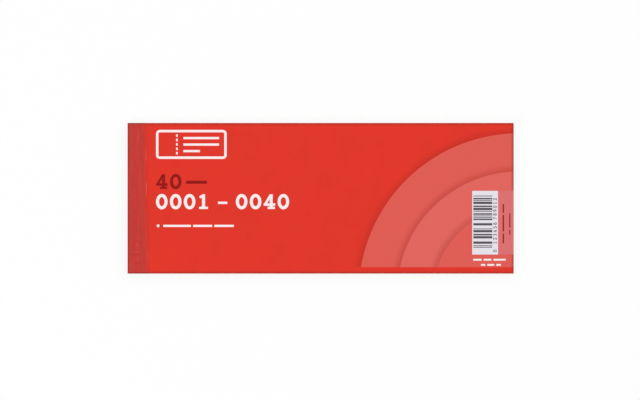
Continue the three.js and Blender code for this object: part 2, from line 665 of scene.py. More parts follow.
class Finish(NodeCanvas):
    """A material with one Principled shader, fed by nodes."""

    LOW_GLOSS_IOR = 1.25
    FACING_LIMIT = 0.5

    def __init__(self, bench: Workbench, name: str, source: PlaceSource) -> None:
        """Makes the material and its place in millimetres.

        Args:
            bench: The plan and the shared effects.
            name: The material's name.
            source: Where the surface's place at rest is read.
        """
        self.bench = bench
        self.material = bpy.data.materials.new(name)
        self.material.use_nodes = True
        super().__init__(self.material.node_tree)
        self.shader = next(n for n in self.tree.nodes if n.type == "BSDF_PRINCIPLED")
        if source is PlaceSource.SHEET:
            read = self.add("ShaderNodeAttribute", attribute_name=PLACE_ATTRIBUTE)
            self.place = read.outputs["Vector"]
        else:
            read = self.add("ShaderNodeTexCoord")
            self.place = self.stretch(read.outputs["Object"], (1 / MM, 1 / MM, 1 / MM))

    def set(self, socket: str, value: Input) -> None:
        """Feeds one of the shader's sockets by name."""
        self.feed(self.shader.inputs[socket], value)

    def matt(self, mask: Socket, roughness: Range) -> None:
        """Gives the surface the low gloss of ink, card and paper.

        Args:
            mask: What the roughness follows, from 0 to 1.
            roughness: The roughness where the mask is 0 and where it is 1.
        """
        self.set("Roughness", self.remap(mask, *roughness))
        self.set("IOR", self.LOW_GLOSS_IOR)

    def felted(self, roughness: Range, relief_mm: float, grain: float = 1.0) -> Socket:
        """Gives the surface the grain of card or paper, in its gloss and its relief.

        Args:
            roughness: The roughness at the grain's least and most tone.
            relief_mm: How deep the grain is.
            grain: How many times finer than card's the grain is.

        Returns:
            The grain's tone, a mask for the colour.
        """
        fibres = self.group(self.bench.effects.fibres, Place=self.place, Grain=grain)
        self.matt(fibres.outputs["Tone"], roughness)
        self.relief(fibres.outputs["Height"], relief_mm)
        return fibres.outputs["Tone"]

    def looking(self, way: float) -> Socket:
        """A mask of the flat faces that look up or down.

        Args:
            way: 1 for the faces that look up, -1 for those that look down.

        Returns:
            The mask.
        """
        _, _, z = self.split(self.add("ShaderNodeNewGeometry").outputs["True Normal"])
        return self.math("GREATER_THAN", self.math("MULTIPLY", z, way), self.FACING_LIMIT)

    def border(self, width_mm: float) -> tuple[Socket, Socket]:
        """The painted shade along the border of the cover's rectangle, and its worn patches.

        Args:
            width_mm: How far in the painted shade reaches.

        Returns:
            The masks of the painted edge shade and of the worn patches.
        """
        edge = self.group(
            self.bench.effects.worn_edge,
            Place=self.place,
            Half_Length=self.bench.plan.free_x / MM,
            Half_Height=self.bench.plan.top_y / MM,
            Line_Width=width_mm,
        )
        return edge.outputs["Line"], edge.outputs["Rub"]

    def relief(self, height: Socket, depth_mm: float) -> None:
        """Gives the surface a fine relief.

        Args:
            height: A height from 0 to 1.
            depth_mm: What a height of 1 is worth.
        """
        node = self.add("ShaderNodeBump")
        node.inputs["Distance"].default_value = depth_mm * MM
        self.feed(node.inputs["Height"], height)
        self.set("Normal", node.outputs[0])


# Finishes


@dataclass(frozen=True)
class CoverPrint:
    """Printed card: flat red, with overlapping paper-cut discs in lighter tints at the right."""

    red: Colour = paint("e33223")
    tints: tuple[Colour, ...] = (paint("de5a50"), paint("e0635b"), paint("de5b52"))
    shade: Colour = paint("a3241a")
    edge_shade: Colour = paint("8f231c")
    shade_beside_tape: Colour = paint("c3352c")
    bare_card: Colour = paint("e9b7a6")
    cut_card: Colour = paint("cf7668")
    disc_centre_mm: Point = (104.0, -50.0)
    disc_radii_mm: tuple[float, ...] = (84.0, 64.0, 45.0)
    shadow_width_mm: float = 4.5
    foot_band_mm: float = 3.4
    band_blur_mm: float = 0.1
    edge_width_mm: float = 1.8
    tape_shade_mm: float = 2.1
    mottle_share: float = 0.16
    shadow_share: float = 0.36
    tape_shade_share: float = 0.5
    edge_share: float = 0.6
    rub_share: float = 0.08
    roughness: Range = (0.50, 0.62)
    relief_mm: float = 0.030

    def discs(self, finish: Finish, colour: Socket) -> Socket:
        """Lays the discs and their shadows over a colour.

        Args:
            finish: The material being built.
            colour: The colour under the discs.

        Returns:
            The colour with the discs.
        """
        _, y, _ = finish.split(finish.place)
        foot = finish.bench.plan.bottom_y / MM + self.foot_band_mm
        above = finish.ramp(y, foot - self.band_blur_mm, foot + self.band_blur_mm)
        for radius, tint in zip(self.disc_radii_mm, self.tints):
            disc = finish.group(
                finish.bench.effects.disc,
                Place=finish.place,
                Centre_X=self.disc_centre_mm[0],
                Centre_Y=self.disc_centre_mm[1],
                Radius=radius,
                Shadow_Width=self.shadow_width_mm,
            )
            shadow = finish.math("MULTIPLY", disc.outputs["Shadow"], above)
            colour = finish.lay(colour, self.shade, shadow, self.shadow_share)
            colour = finish.mix(finish.math("MULTIPLY", disc.outputs["Disc"], above), colour, tint)
        return colour

    def tape_shade(self, finish: Finish, colour: Socket) -> Socket:
        """Paints shade on the card beside the tape, in the crease at the tape's step.

        Args:
            finish: The material being built.
            colour: The colour of the card.

        Returns:
            The colour with the shade.
        """
        plan = finish.bench.plan
        x, y, _ = finish.split(finish.place)
        lean = finish.math("MULTIPLY", finish.math("SUBTRACT", y, plan.bottom_y / MM), plan.lap_lean)
        lap_edge = finish.math("ADD", lean, (plan.spine_x + plan.front_lap_bottom) / MM)
        near = finish.fade(finish.math("SUBTRACT", x, lap_edge), 0.0, self.tape_shade_mm)
        # Painted shade in the crease beside the tape's step.
        return finish.lay(colour, self.shade_beside_tape, near, self.tape_shade_share)

    def make(self, bench: Workbench, source: PlaceSource, name: str, plain: bool) -> bpy.types.Material:
        """Builds the material.

        Args:
            bench: The plan and the shared effects.
            source: Where the place at rest is read.
            name: The material's name.
            plain: Whether the discs are left out, and the faces that don't look up show cut card.

        Returns:
            The material.
        """
        finish = Finish(bench, name, source)
        tone = finish.felted(self.roughness, self.relief_mm)
        colour = finish.lay(self.red, self.shade, tone, self.mottle_share)
        if not plain:
            colour = self.tape_shade(finish, self.discs(finish, colour))
        line, rub = finish.border(self.edge_width_mm)
        # Painted shade along the cover's rounded edges.
        colour = finish.lay(colour, self.edge_shade, line, self.edge_share)
        colour = finish.lay(colour, self.bare_card, rub, self.rub_share)
        if plain:
            colour = finish.mix(finish.looking(1.0), self.cut_card, colour)
        finish.set("Base Color", colour)
        return finish.material


@dataclass(frozen=True)
class BackCard:
    """The back cover: plain printed red outside, raw card on its cut edges and inside."""

    red: Colour = paint("dc342a")
    shade: Colour = paint("a8281f")
    core: Colour = paint("cf7668")
    inside: Colour = paint("efeae0")
    scuffed: Colour = paint("e4675b")
    edge_shade: Colour = paint("8f231c")
    scuffs: Grain = Grain(1.3, (0.05, 1.1, 1.0), 2.0)
    scuff_range: Range = (0.60, 0.74)
    scuff_share: float = 0.30
    mottle_share: float = 0.14
    edge_width_mm: float = 1.4
    edge_share: float = 0.5
    rub_share: float = 0.4
    roughness: Range = (0.52, 0.66)
    relief_mm: float = 0.016

    def make(self, bench: Workbench) -> bpy.types.Material:
        """Builds the material, which tells the faces apart by the way they look.

        Args:
            bench: The plan and the shared effects.

        Returns:
            The material.
        """
        finish = Finish(bench, "back_card", PlaceSource.RIGID)
        tone = finish.felted(self.roughness, self.relief_mm)
        colour = finish.lay(self.red, self.shade, tone, self.mottle_share)
        slid = finish.ramp(finish.noise(finish.place, self.scuffs), *self.scuff_range)
        colour = finish.lay(colour, self.scuffed, slid, self.scuff_share)
        line, rub = finish.border(self.edge_width_mm)
        # Painted shade along the back cover's rounded edges.
        colour = finish.lay(colour, self.edge_shade, line, self.edge_share)
        colour = finish.lay(colour, self.scuffed, rub, self.rub_share)
        colour = finish.mix(finish.looking(-1.0), self.core, colour)
        finish.set("Base Color", finish.mix(finish.looking(1.0), colour, self.inside))
        return finish.material


@dataclass(frozen=True)
class TapeFinish:
    """Bookbinding tape: a duller red than the card, with long streaks and a fine weave."""

    dark: Colour = paint("be342c")
    light: Colour = paint("c63a32")
    lap_tone: Colour = paint("e33223")
    fray_and_highlight: Colour = paint("e5806f")
    ridge_rub_and_highlight: Colour = paint("dc6c60")
    dent_shade: Colour = paint("98231e")
    edge_shade: Colour = paint("7c2421")
    edge_width_mm: float = 1.2
    edge_share: float = 0.7
    lap_fade_mm: float = 1.9
    lap_share: float = 0.5
    fray_highlight: Grain = Grain(9.0, (0.1, 1.0, 0.1))
    fray_range: Range = (0.52, 0.66)
    fray_width_mm: Range = (0.2, 0.55)
    fray_share: float = 0.4
    ridge_rub_and_highlight_share: float = 0.15
    dent_shade_share: float = 0.26
    roughness: Range = (0.50, 0.66)
    relief_mm: float = 0.032

    def lap_edge(self, finish: Finish, colour: Socket) -> Socket:
        """Thins the colour towards the lap's edge, where the card shows, and adds fraying threads with a
        painted highlight.

        Args:
            finish: The material being built.
            colour: The tape's colour.

        Returns:
            The colour with its edge.
        """
        lap = finish.add("ShaderNodeAttribute", attribute_name=LAP_ATTRIBUTE).outputs["Fac"]
        thinned = finish.fade(lap, 0.0, self.lap_fade_mm)
        colour = finish.lay(colour, self.lap_tone, thinned, self.lap_share)
        patchy = finish.ramp(finish.noise(finish.place, self.fray_highlight), *self.fray_range)
        fray_highlight = finish.math("MULTIPLY", finish.fade(lap, *self.fray_width_mm), patchy)
        # Fraying threads along the cut edge, partly a painted highlight where the edge catches the light.
        return finish.lay(colour, self.fray_and_highlight, fray_highlight, self.fray_share)

    def pressed(self, finish: Finish, colour: Socket) -> Socket:
        """Lightens the tape over a ridge, as rub wear and a painted highlight, and paints shade in a
        dent.

        Args:
            finish: The material being built.
            colour: The tape's colour.

        Returns:
            The colour with ridges and dents.
        """
        press = finish.add("ShaderNodeAttribute", attribute_name=PRESS_ATTRIBUTE).outputs["Fac"]
        raised = finish.ramp(press, 0.0, 1.0, smooth=False)
        sunk = finish.ramp(press, 0.0, -1.0, smooth=False)
        # Ridges: rub wear and a painted highlight.
        colour = finish.lay(colour, self.ridge_rub_and_highlight, raised, self.ridge_rub_and_highlight_share)
        # Dents: painted shade.
        return finish.lay(colour, self.dent_shade, sunk, self.dent_shade_share)

    def make(self, bench: Workbench) -> bpy.types.Material:
        """Builds the material.

        Args:
            bench: The plan and the shared effects.

        Returns:
            The material.
        """
        finish = Finish(bench, "binding_tape", PlaceSource.SHEET)
        streaks = finish.group(bench.effects.streaks, Place=finish.place)
        colour = finish.mix(streaks.outputs["Tone"], self.dark, self.light)
        colour = self.pressed(finish, self.lap_edge(finish, colour))
        line, _ = finish.border(self.edge_width_mm)
        # Painted shade along the tape's edges at the spine and at its ends.
        finish.set("Base Color", finish.lay(colour, self.edge_shade, line, self.edge_share))
        finish.matt(streaks.outputs["Tone"], self.roughness)
        finish.relief(streaks.outputs["Height"], self.relief_mm)
        return finish.material


@dataclass(frozen=True)
class PlainFinish:
    """Ink, raw card or paper: one colour with soft specks of another."""

    name: str
    colour: Colour
    speck: Colour
    source: PlaceSource = PlaceSource.RIGID
    speck_share: float = 0.12
    grain: float = 1.0
    roughness: Range = (0.50, 0.62)
    relief_mm: float = 0.008

    def over(self, finish: Finish, colour: Socket) -> Socket:
        """What lies over the colour, which is nothing on a plain surface."""
        return colour

    def make(self, bench: Workbench) -> bpy.types.Material:
        """Builds the material.

        Args:
            bench: The plan and the shared effects.

        Returns:
            The material.
        """
        finish = Finish(bench, self.name, self.source)
        tone = finish.felted(self.roughness, self.relief_mm, self.grain)
        colour = finish.lay(self.colour, self.speck, tone, self.speck_share)
        finish.set("Base Color", self.over(finish, colour))
        return finish.material


@dataclass(frozen=True)
class PaperFinish(PlainFinish):
    """Thin white leaf paper with its perforation."""

    cut: Colour = paint("a9a297")
    cut_share: float = 0.8

    def over(self, finish: Finish, colour: Socket) -> Socket:
        """Paints shade where the perforation's slits are.

        Args:
            finish: The material being built.
            colour: The paper's colour.

        Returns:
            The colour with the painted shade of the slits.
        """
        tear_x = finish.bench.plan.tear_x / MM
        tear = finish.group(finish.bench.effects.tear_line, Place=finish.place, Tear_X=tear_x)
        # Painted shade in the slits, which the flat sheet doesn't cut.
        return finish.lay(colour, self.cut, tear.outputs["Cut"], self.cut_share)


@dataclass(frozen=True)
class BlockFinish:
    """The cut edges of many leaves pressed together: fine level lines of paper and shadow."""

    sheet: Colour = paint("eeeae1")
    duller: Colour = paint("d6d0c4")
    gap: Colour = paint("a8a195")
    band_leaves: float = 2.2
    band_squeeze: Point3 = (0.01, 0.01, 1.0)
    band_range: Range = (0.34, 0.68)
    band_share: float = 0.45
    seam_range: Range = (0.36, 0.5)
    seam_strength: Range = (0.3, 0.7)
    grain: float = 2.0
    roughness: Range = (0.8, 0.92)
    seam_depth_mm: float = 0.010

    def make(self, bench: Workbench) -> bpy.types.Material:
        """Builds the material.

        Args:
            bench: The plan and the shared effects.

        Returns:
            The material.
        """
        finish = Finish(bench, "pressed_leaves", PlaceSource.RIGID)
        pitch = bench.plan.clamped_pitch / MM
        _, _, z = finish.split(finish.place)
        layer = finish.math("FRACT", finish.math("DIVIDE", z, pitch))
        off_middle = finish.math("ABSOLUTE", finish.math("SUBTRACT", layer, 0.5))
        bands = finish.noise(finish.place, Grain(self.band_leaves * pitch, self.band_squeeze))
        uneven = finish.ramp(bands, *self.band_range)
        strength = finish.remap(uneven, *self.seam_strength)
        seam = finish.math("MULTIPLY", finish.ramp(off_middle, *self.seam_range), strength)
        colour = finish.lay(self.sheet, self.duller, uneven, self.band_share)
        finish.set("Base Color", finish.mix(seam, colour, self.gap))
        fibres = finish.group(bench.effects.fibres, Place=finish.place, Grain=self.grain)
        finish.matt(fibres.outputs["Tone"], self.roughness)
        finish.relief(seam, -self.seam_depth_mm)
        return finish.material


@dataclass(frozen=True)
class SteelFinish:
    """Bright drawn staple wire."""

    bright: Colour = paint("c9cbcd")
    dull: Colour = paint("9a9c9f")
    drawn: Grain = Grain(0.5, (6.0, 0.5, 6.0))
    roughness: Range = (0.22, 0.42)
    relief_mm: float = 0.006

    def make(self, bench: Workbench) -> bpy.types.Material:
        """Builds the material.

        Args:
            bench: The plan and the shared effects.

        Returns:
            The material.
        """
        finish = Finish(bench, "staple_wire", PlaceSource.RIGID)
        drawn = finish.noise(finish.place, self.drawn)
        finish.set("Base Color", finish.mix(drawn, self.bright, self.dull))
        finish.set("Metallic", 1.0)
        finish.set("Roughness", finish.remap(drawn, *self.roughness))
        finish.relief(drawn, self.relief_mm)
        return finish.material


# Meshes


def link_piece(
    name: str,
    points: Sequence[Point3],
    faces: Sequence[Corners],
    inks: Sequence[int],
    materials: Sequence[bpy.types.Material],
) -> bpy.types.Object:
    """Makes a mesh object and puts it in the scene.

    Args:
        name: The piece's name.
        points: Its points in metres.
        faces: Its faces.
        inks: The material index of each face.
        materials: Its materials.

    Returns:
        The piece, flat-shaded.
    """
    mesh = bpy.data.meshes.new(name)
    mesh.from_pydata(points, [], faces)
    for material in materials:
        mesh.materials.append(material)
    for polygon, ink in zip(mesh.polygons, inks):
        polygon.material_index = ink
    mesh.update()
    piece = bpy.data.objects.new(name, mesh)
    bpy.context.scene.collection.objects.link(piece)
    return piece


def smooth_piece(piece: bpy.types.Object, points: Sequence[Point3]) -> None:
    """Shades a piece smooth, and keeps its place at rest on its points.

    Args:
        piece: The piece.
        points: Its points in metres.
    """
    mesh = piece.data
    mesh.shade_smooth()
    mesh.set_sharp_from_angle(angle=SHARP_ANGLE)
    place = mesh.attributes.new(PLACE_ATTRIBUTE, "FLOAT_VECTOR", "POINT")
    place.data.foreach_set("vector", [value / MM for point in points for value in point])


@dataclass
class FlatPrint:
    """Flat printed shapes that are gathered into one mesh, each with a material index."""

    points: list[Point3] = field(default_factory=list)
    faces: list[Corners] = field(default_factory=list)
    inks: list[int] = field(default_factory=list)
    disc_sides: int = 24
    corner_steps: int = 5

    def polygon(self, corners: Sequence[Point], z: float, ink: int = 0) -> None:
        """Adds one flat face.

        Args:
            corners: Its corners in metres, counter-clockwise from above.
            z: Its height.
            ink: Its material index.
        """
        start = len(self.points)
        self.points += [(x, y, z) for x, y in corners]
        self.faces.append(tuple(range(start, start + len(corners))))
        self.inks.append(ink)

    def box(self, low: Point, high: Point, z: float, ink: int = 0) -> None:
        """Adds a filled rectangle between two corners in metres."""
        self.polygon([low, (high[0], low[1]), high, (low[0], high[1])], z, ink)

    def disc(self, centre: Point, radius: float, z: float, ink: int = 0) -> None:
        """Adds a filled disc.

        Args:
            centre: Its middle in metres.
            radius: Its radius.
            z: Its height.
            ink: Its material index.
        """
        turns = [2.0 * math.pi * index / self.disc_sides for index in range(self.disc_sides)]
        rim = [(centre[0] + radius * math.cos(t), centre[1] + radius * math.sin(t)) for t in turns]
        self.polygon(rim, z, ink)

    def frame(self, low: Point, high: Point, width: float, corner: float, z: float, ink: int = 0) -> None:
        """Adds a rectangular outline with round corners.

        Args:
            low: The lower left corner in metres.
            high: The upper right corner.
            width: The line's width.
            corner: The outer corner radius.
            z: Its height.
            ink: Its material index.
        """
        centres = [
            (high[0] - corner, high[1] - corner, 0.0),
            (low[0] + corner, high[1] - corner, 0.5),
            (low[0] + corner, low[1] + corner, 1.0),
            (high[0] - corner, low[1] + corner, 1.5),
        ]
        outer: list[Point] = []
        inner: list[Point] = []
        for x, y, first in centres:
            for share in spread(first, first + 0.5, self.corner_steps):
                away = (math.cos(share * math.pi), math.sin(share * math.pi))
                outer.append((x + corner * away[0], y + corner * away[1]))
                inner.append((x + (corner - width) * away[0], y + (corner - width) * away[1]))
        for index in range(len(outer)):
            after = (index + 1) % len(outer)
            self.polygon([outer[index], outer[after], inner[after], inner[index]], z, ink)

    def build(self, name: str, materials: Sequence[bpy.types.Material]) -> bpy.types.Object:
        """Makes the mesh object.

        Args:
            name: The piece's name.
            materials: The inks, in the order of their indices.

        Returns:
            The piece.
        """
        return link_piece(name, self.points, self.faces, self.inks, materials)


@dataclass(frozen=True)
class Stroke:
    """One pen stroke of a numeral, by the middle line of the pen."""

    ARC_STEPS: ClassVar[int] = 21
    LEAST_LEAN: ClassVar[float] = 0.6

    points: tuple[Point, ...]
    closed: bool = False
    share: float = 1.0

    @classmethod
    def line(cls, start: Point, end: Point, share: float = 1.0) -> "Stroke":
        """A straight stroke, with the share of the pen's width that it takes."""
        return cls((start, end), share=share)

    @classmethod
    def arc(cls, centre: Point, radii: Point, start: float, end: float, *then: Point) -> "Stroke":
        """A stroke along part of an ellipse.

        Args:
            centre: The ellipse's middle.
            radii: Its radii along X and Y.
            start: Where the stroke starts, in degrees.
            end: Where it ends, a full turn away for a closed ring.
            *then: The points that follow the arc.

        Returns:
            The stroke.
        """
        closed = abs(end - start) >= 360.0
        turns = spread(math.radians(start), math.radians(end), cls.ARC_STEPS)
        if closed:
            turns.pop()
        found = [(centre[0] + radii[0] * math.cos(t), centre[1] + radii[1] * math.sin(t)) for t in turns]
        return cls((*found, *then), closed=closed)

    def flipped(self, width: float) -> "Stroke":
        """The stroke turned by half a turn in a box of that width and a height of 1."""
        return Stroke(tuple((width - x, 1.0 - y) for x, y in self.points), self.closed, self.share)

    def quads(self, pen: float) -> list[list[Point]]:
        """The stroke's outline as four-sided faces that meet in mitres.

        Args:
            pen: The pen's full width.

        Returns:
            One face for each straight step.
        """
        count = len(self.points)
        spots = [Vector(point) for point in self.points]
        steps = [(spots[(i + 1) % count] - spots[i]).normalized() for i in range(count)]
        if not self.closed:
            steps[-1] = steps[-2]
        sides: list[tuple[Point, Point]] = []
        for index, spot in enumerate(spots):
            before = steps[index - 1] if self.closed or index else steps[0]
            after = steps[index]
            across = Vector((-before.y - after.y, before.x + after.x)).normalized()
            lean = max(across.dot(Vector((-after.y, after.x))), self.LEAST_LEAN)
            reach = across * (pen * self.share / 2 / lean)
            sides.append(((spot.x + reach.x, spot.y + reach.y), (spot.x - reach.x, spot.y - reach.y)))
        pairs = zip(sides, sides[1:] + sides[:1]) if self.closed else zip(sides, sides[1:])
        return [[right, next_right, next_left, left] for (left, right), (next_left, next_right) in pairs]


@dataclass
class Numerals:
    """Plain slab numerals as flat faces, each drawn once, in a box one high."""

    MERGE_DISTANCE: ClassVar[float] = 1e-5

    pen: float
    width: float = 0.66
    pitch: float = 0.80
    space: float = 0.35
    slab_share: float = 0.76
    glyphs: dict[str, Glyph] = field(default_factory=dict)

    def strokes(self, sign: str) -> list[Stroke]:
        """The strokes of one sign, drawn in a box one high and as wide as a numeral.

        Args:
            sign: A digit or a dash.

        Returns:
            Its strokes.
        """
        near, wide, thin = self.pen / 2, self.width, self.slab_share
        foot, middle, reach = near * thin, wide / 2, wide / 2 - near
        head = 1.0 - foot
        six = [
            Stroke.arc((middle, 0.32), (reach, 0.32 - foot), 0.0, 360.0),
            Stroke.arc((wide - near, 0.34), (2 * reach, 0.66 - foot), 180.0, 98.0),
        ]
        signs = {
            "-": [Stroke.line((0.08, 0.42), (wide - 0.08, 0.42), thin)],
            "0": [Stroke.arc((middle, 0.5), (reach, 0.5 - foot), 0.0, 360.0)],
            "1": [
                Stroke.line((middle, 0.0), (middle, 1.0)),
                Stroke.line((0.17 * wide, 0.79), (middle, 0.92), thin),
                Stroke.line((0.12 * wide, foot), (0.88 * wide, foot), thin),
            ],
            "2": [
                Stroke.arc((middle, 0.71), (reach, 0.29 - foot), 165.0, -38.0, (near, foot)),
                Stroke.line((0.02, foot), (wide - 0.02, foot), thin),
                Stroke.line((wide - 0.09, 0.0), (wide - 0.09, 0.27), thin),
            ],
            "3": [
                Stroke.arc((middle - 0.01, 0.735), (reach - 0.04, 0.265 - foot), 160.0, -90.0),
                Stroke.arc((middle - 0.01, 0.285), (reach, 0.285 - foot), 90.0, -160.0),
            ],
            "4": [
                Stroke.line((0.65 * wide, 0.0), (0.65 * wide, 1.0)),
                Stroke.line((0.60 * wide, 0.95), (0.12 * wide, 0.30), thin),
                Stroke.line((0.0, 0.30), (wide, 0.30), thin),
                Stroke.line((0.34 * wide, foot), (0.97 * wide, foot), thin),
            ],
            "5": [
                Stroke.line((0.12, head), (wide - 0.06, head), thin),
                Stroke.line((0.12 + foot, 1.0), (0.12, 0.50), thin),
                Stroke.arc((middle - 0.01, 0.32), (reach, 0.32 - foot), 128.0, -155.0),
            ],
            "6": six,
            "7": [
                Stroke.line((0.03, head), (wide - 0.03, head), thin),
                Stroke.line((wide - 0.11, 0.96), (0.25, 0.0)),
                Stroke.line((0.09, 0.73), (0.09, 1.0), thin),
            ],
            "8": [
                Stroke.arc((middle, 0.745), (reach - 0.05, 0.255 - foot), 0.0, 360.0),
                Stroke.arc((middle, 0.285), (reach, 0.285 - foot), 0.0, 360.0),
            ],
            "9": [stroke.flipped(wide) for stroke in six],
        }
        return signs[sign]

    def glyph(self, sign: str) -> Glyph:
        """The faces of one sign, its strokes joined into one flat shape.

        Args:
            sign: A digit or a dash.

        Returns:
            Its points and its faces.
        """
        if sign not in self.glyphs:
            quads = [quad for stroke in self.strokes(sign) for quad in stroke.quads(self.pen)]
            corners = [Vector(corner) for quad in quads for corner in quad]
            shapes = [list(range(4 * index, 4 * index + 4)) for index in range(len(quads))]
            joined = delaunay_2d_cdt(corners, [], shapes, 0, self.MERGE_DISTANCE)
            points, _, faces, _, _, owners = joined
            inked = [tuple(face) for face, owner in zip(faces, owners) if owner]
            self.glyphs[sign] = ([(point.x, point.y) for point in points], inked)
        return self.glyphs[sign]

    def lay(
        self,
        into: FlatPrint,
        text: str,
        start: Point,
        height: float,
        z: float,
        ink: int = 0,
        upright: bool = False,
    ) -> None:
        """Adds a row of numerals to a print.

        Args:
            into: The print that takes the faces.
            text: Digits, dashes and spaces.
            start: The row's lower left corner in metres.
            height: The height of a digit.
            z: The height of the faces.
            ink: Their material index.
            upright: Whether the row climbs along Y instead of running along X.
        """
        along = 0.0
        for sign in text:
            if sign == " ":
                along += self.space
                continue
            points, faces = self.glyph(sign)
            placed = [((along + x) * height, y * height) for x, y in points]
            along += self.pitch
            if upright:
                placed = [(-y, x) for x, y in placed]
            first = len(into.points)
            into.points += [(start[0] + x, start[1] + y, z) for x, y in placed]
            into.faces += [tuple(first + corner for corner in face) for face in faces]
            into.inks += [ink] * len(faces)


@dataclass(frozen=True)
class FormRule:
    """One printed rule or box outline, in millimetres from the middle of the book."""

    centre: Point
    half: Point
    line: float = 0.34

    def strips(self) -> list[tuple[Point, Point]]:
        """The rule's straight strips: one for a plain rule, four for a box.

        Returns:
            The lower and the upper corner of each, in millimetres.
        """
        (x, y), (wide, tall), half = self.centre, self.half, self.line / 2
        if tall == 0.0:
            return [((x - wide, y - half), (x + wide, y + half))]
        level = [
            ((x - wide - half, y + side * tall - half), (x + wide + half, y + side * tall + half))
            for side in (-1, 1)
        ]
        upright = [
            ((x + side * wide - half, y - tall + half), (x + side * wide + half, y + tall - half))
            for side in (-1, 1)
        ]
        return level + upright

    def lay(self, sheet: FlatPrint, z: float, ink: int) -> None:
        """Adds the rule to a print at a height, in an ink."""
        for low, high in self.strips():
            sheet.box((low[0] * MM, low[1] * MM), (high[0] * MM, high[1] * MM), z, ink)


@dataclass(frozen=True)
class LeafForm:
    """The blank form that is printed on every leaf: an outline, a box and rules on each part."""

    stub: tuple[FormRule, ...] = (
        FormRule((-67.0, 0.0), (17.0, 33.5), 0.42),
        FormRule((-67.0, -24.5), (13.5, 5.0)),
        *(FormRule((-67.0, y), (13.5, 0.0)) for y in (18.0, 9.5, 1.0, -7.5, -16.0)),
    )
    slip: tuple[FormRule, ...] = (
        FormRule((27.0, 0.0), (69.0, 33.5), 0.42),
        FormRule((-21.0, -24.5), (15.0, 5.5), 0.5),
        FormRule((62.0, -27.5), (28.0, 0.0)),
        *(FormRule((27.0, y), (63.0, 0.0)) for y in (16.0, 7.0, -2.0, -11.0)),
    )


class SheetSide(Enum):
    """The faces of a sheet, in the order of its materials."""

    UPPER = 0
    LOWER = 1
    EDGE = 2


@dataclass
class Sheet:
    """A thin sheet made as a grid of columns across X and rows along Y."""

    name: str
    columns: list[float]
    rows: list[float]
    upper: Callable[[float], float]
    lower: Callable[[float], float]
    edge_drop: float = 0.0
    tooth: float = 0.0
    toothed_column: int = -1

    def level(self, column: int, row: int, side: SheetSide) -> float:
        """The height of one grid point.

        Args:
            column: The column's index.
            row: The row's index.
            side: The upper or the lower face.

        Returns:
            The height, drawn in at the border.
        """
        border = row in (0, len(self.rows) - 1) or column in (0, len(self.columns) - 1)
        drop = self.edge_drop if border else 0.0
        x = self.columns[column]
        return self.upper(x) - drop if side is SheetSide.UPPER else self.lower(x) + drop

    def across(self, column: int, row: int) -> float:
        """The X of one grid point, moved out and in by turns along a toothed edge."""
        tooth = self.tooth * (1 - 2 * (row % 2)) if column == self.toothed_column else 0.0
        return self.columns[column] + tooth

    def points(self) -> list[Point3]:
        """The grid's points, the upper face first and then the lower.

        Returns:
            The points, row by row.
        """
        return [
            (self.across(column, row), y, self.level(column, row, side))
            for side in (SheetSide.UPPER, SheetSide.LOWER)
            for row, y in enumerate(self.rows)
            for column in range(len(self.columns))
        ]

    def faces(self) -> list[tuple[Corners, SheetSide]]:
        """The sheet's faces, each with the side that it belongs to.

        Returns:
            The upper and lower faces and the four edges.
        """
        across, along = len(self.columns), len(self.rows)
        under = across * along
        found: list[tuple[Corners, SheetSide]] = []
        for row in range(along - 1):
            for column in range(across - 1):
                a = row * across + column
                b, c, d = a + 1, a + across + 1, a + across
                found.append(((a, b, c, d), SheetSide.UPPER))
                found.append(((under + d, under + c, under + b, under + a), SheetSide.LOWER))
        ring = [*range(across - 1)]
        ring += [row * across + across - 1 for row in range(along - 1)]
        ring += [(along - 1) * across + column for column in range(across - 1, 0, -1)]
        ring += [row * across for row in range(along - 1, 0, -1)]
        for index, point in enumerate(ring):
            after = ring[(index + 1) % len(ring)]
            found.append(((point, under + point, under + after, after), SheetSide.EDGE))
        return found

    def build(
        self,
        materials: Sequence[bpy.types.Material],
        extra: FlatPrint | None = None,
    ) -> bpy.types.Object:
        """Makes the mesh object, with its place at rest kept on its points.

        Args:
            materials: One for each side of the sheet, then those of the print.
            extra: Flat print on the sheet, with inks counted after the sides.

        Returns:
            The piece.
        """
        points, faces = self.points(), self.faces()
        shapes = [face for face, _ in faces]
        inks = [side.value for _, side in faces]
        if extra is not None:
            shapes += [tuple(len(points) + corner for corner in face) for face in extra.faces]
            inks += [len(SheetSide) + ink for ink in extra.inks]
            points += extra.points
        piece = link_piece(self.name, points, shapes, inks, materials)
        smooth_piece(piece, points)
        return piece


# Sub-assemblies


@dataclass
class Assembly:
    """One assembly that is built on the workbench."""

    bench: Workbench

    @property
    def plan(self) -> BookPlan:
        """The book's levels and edges."""
        return self.bench.plan


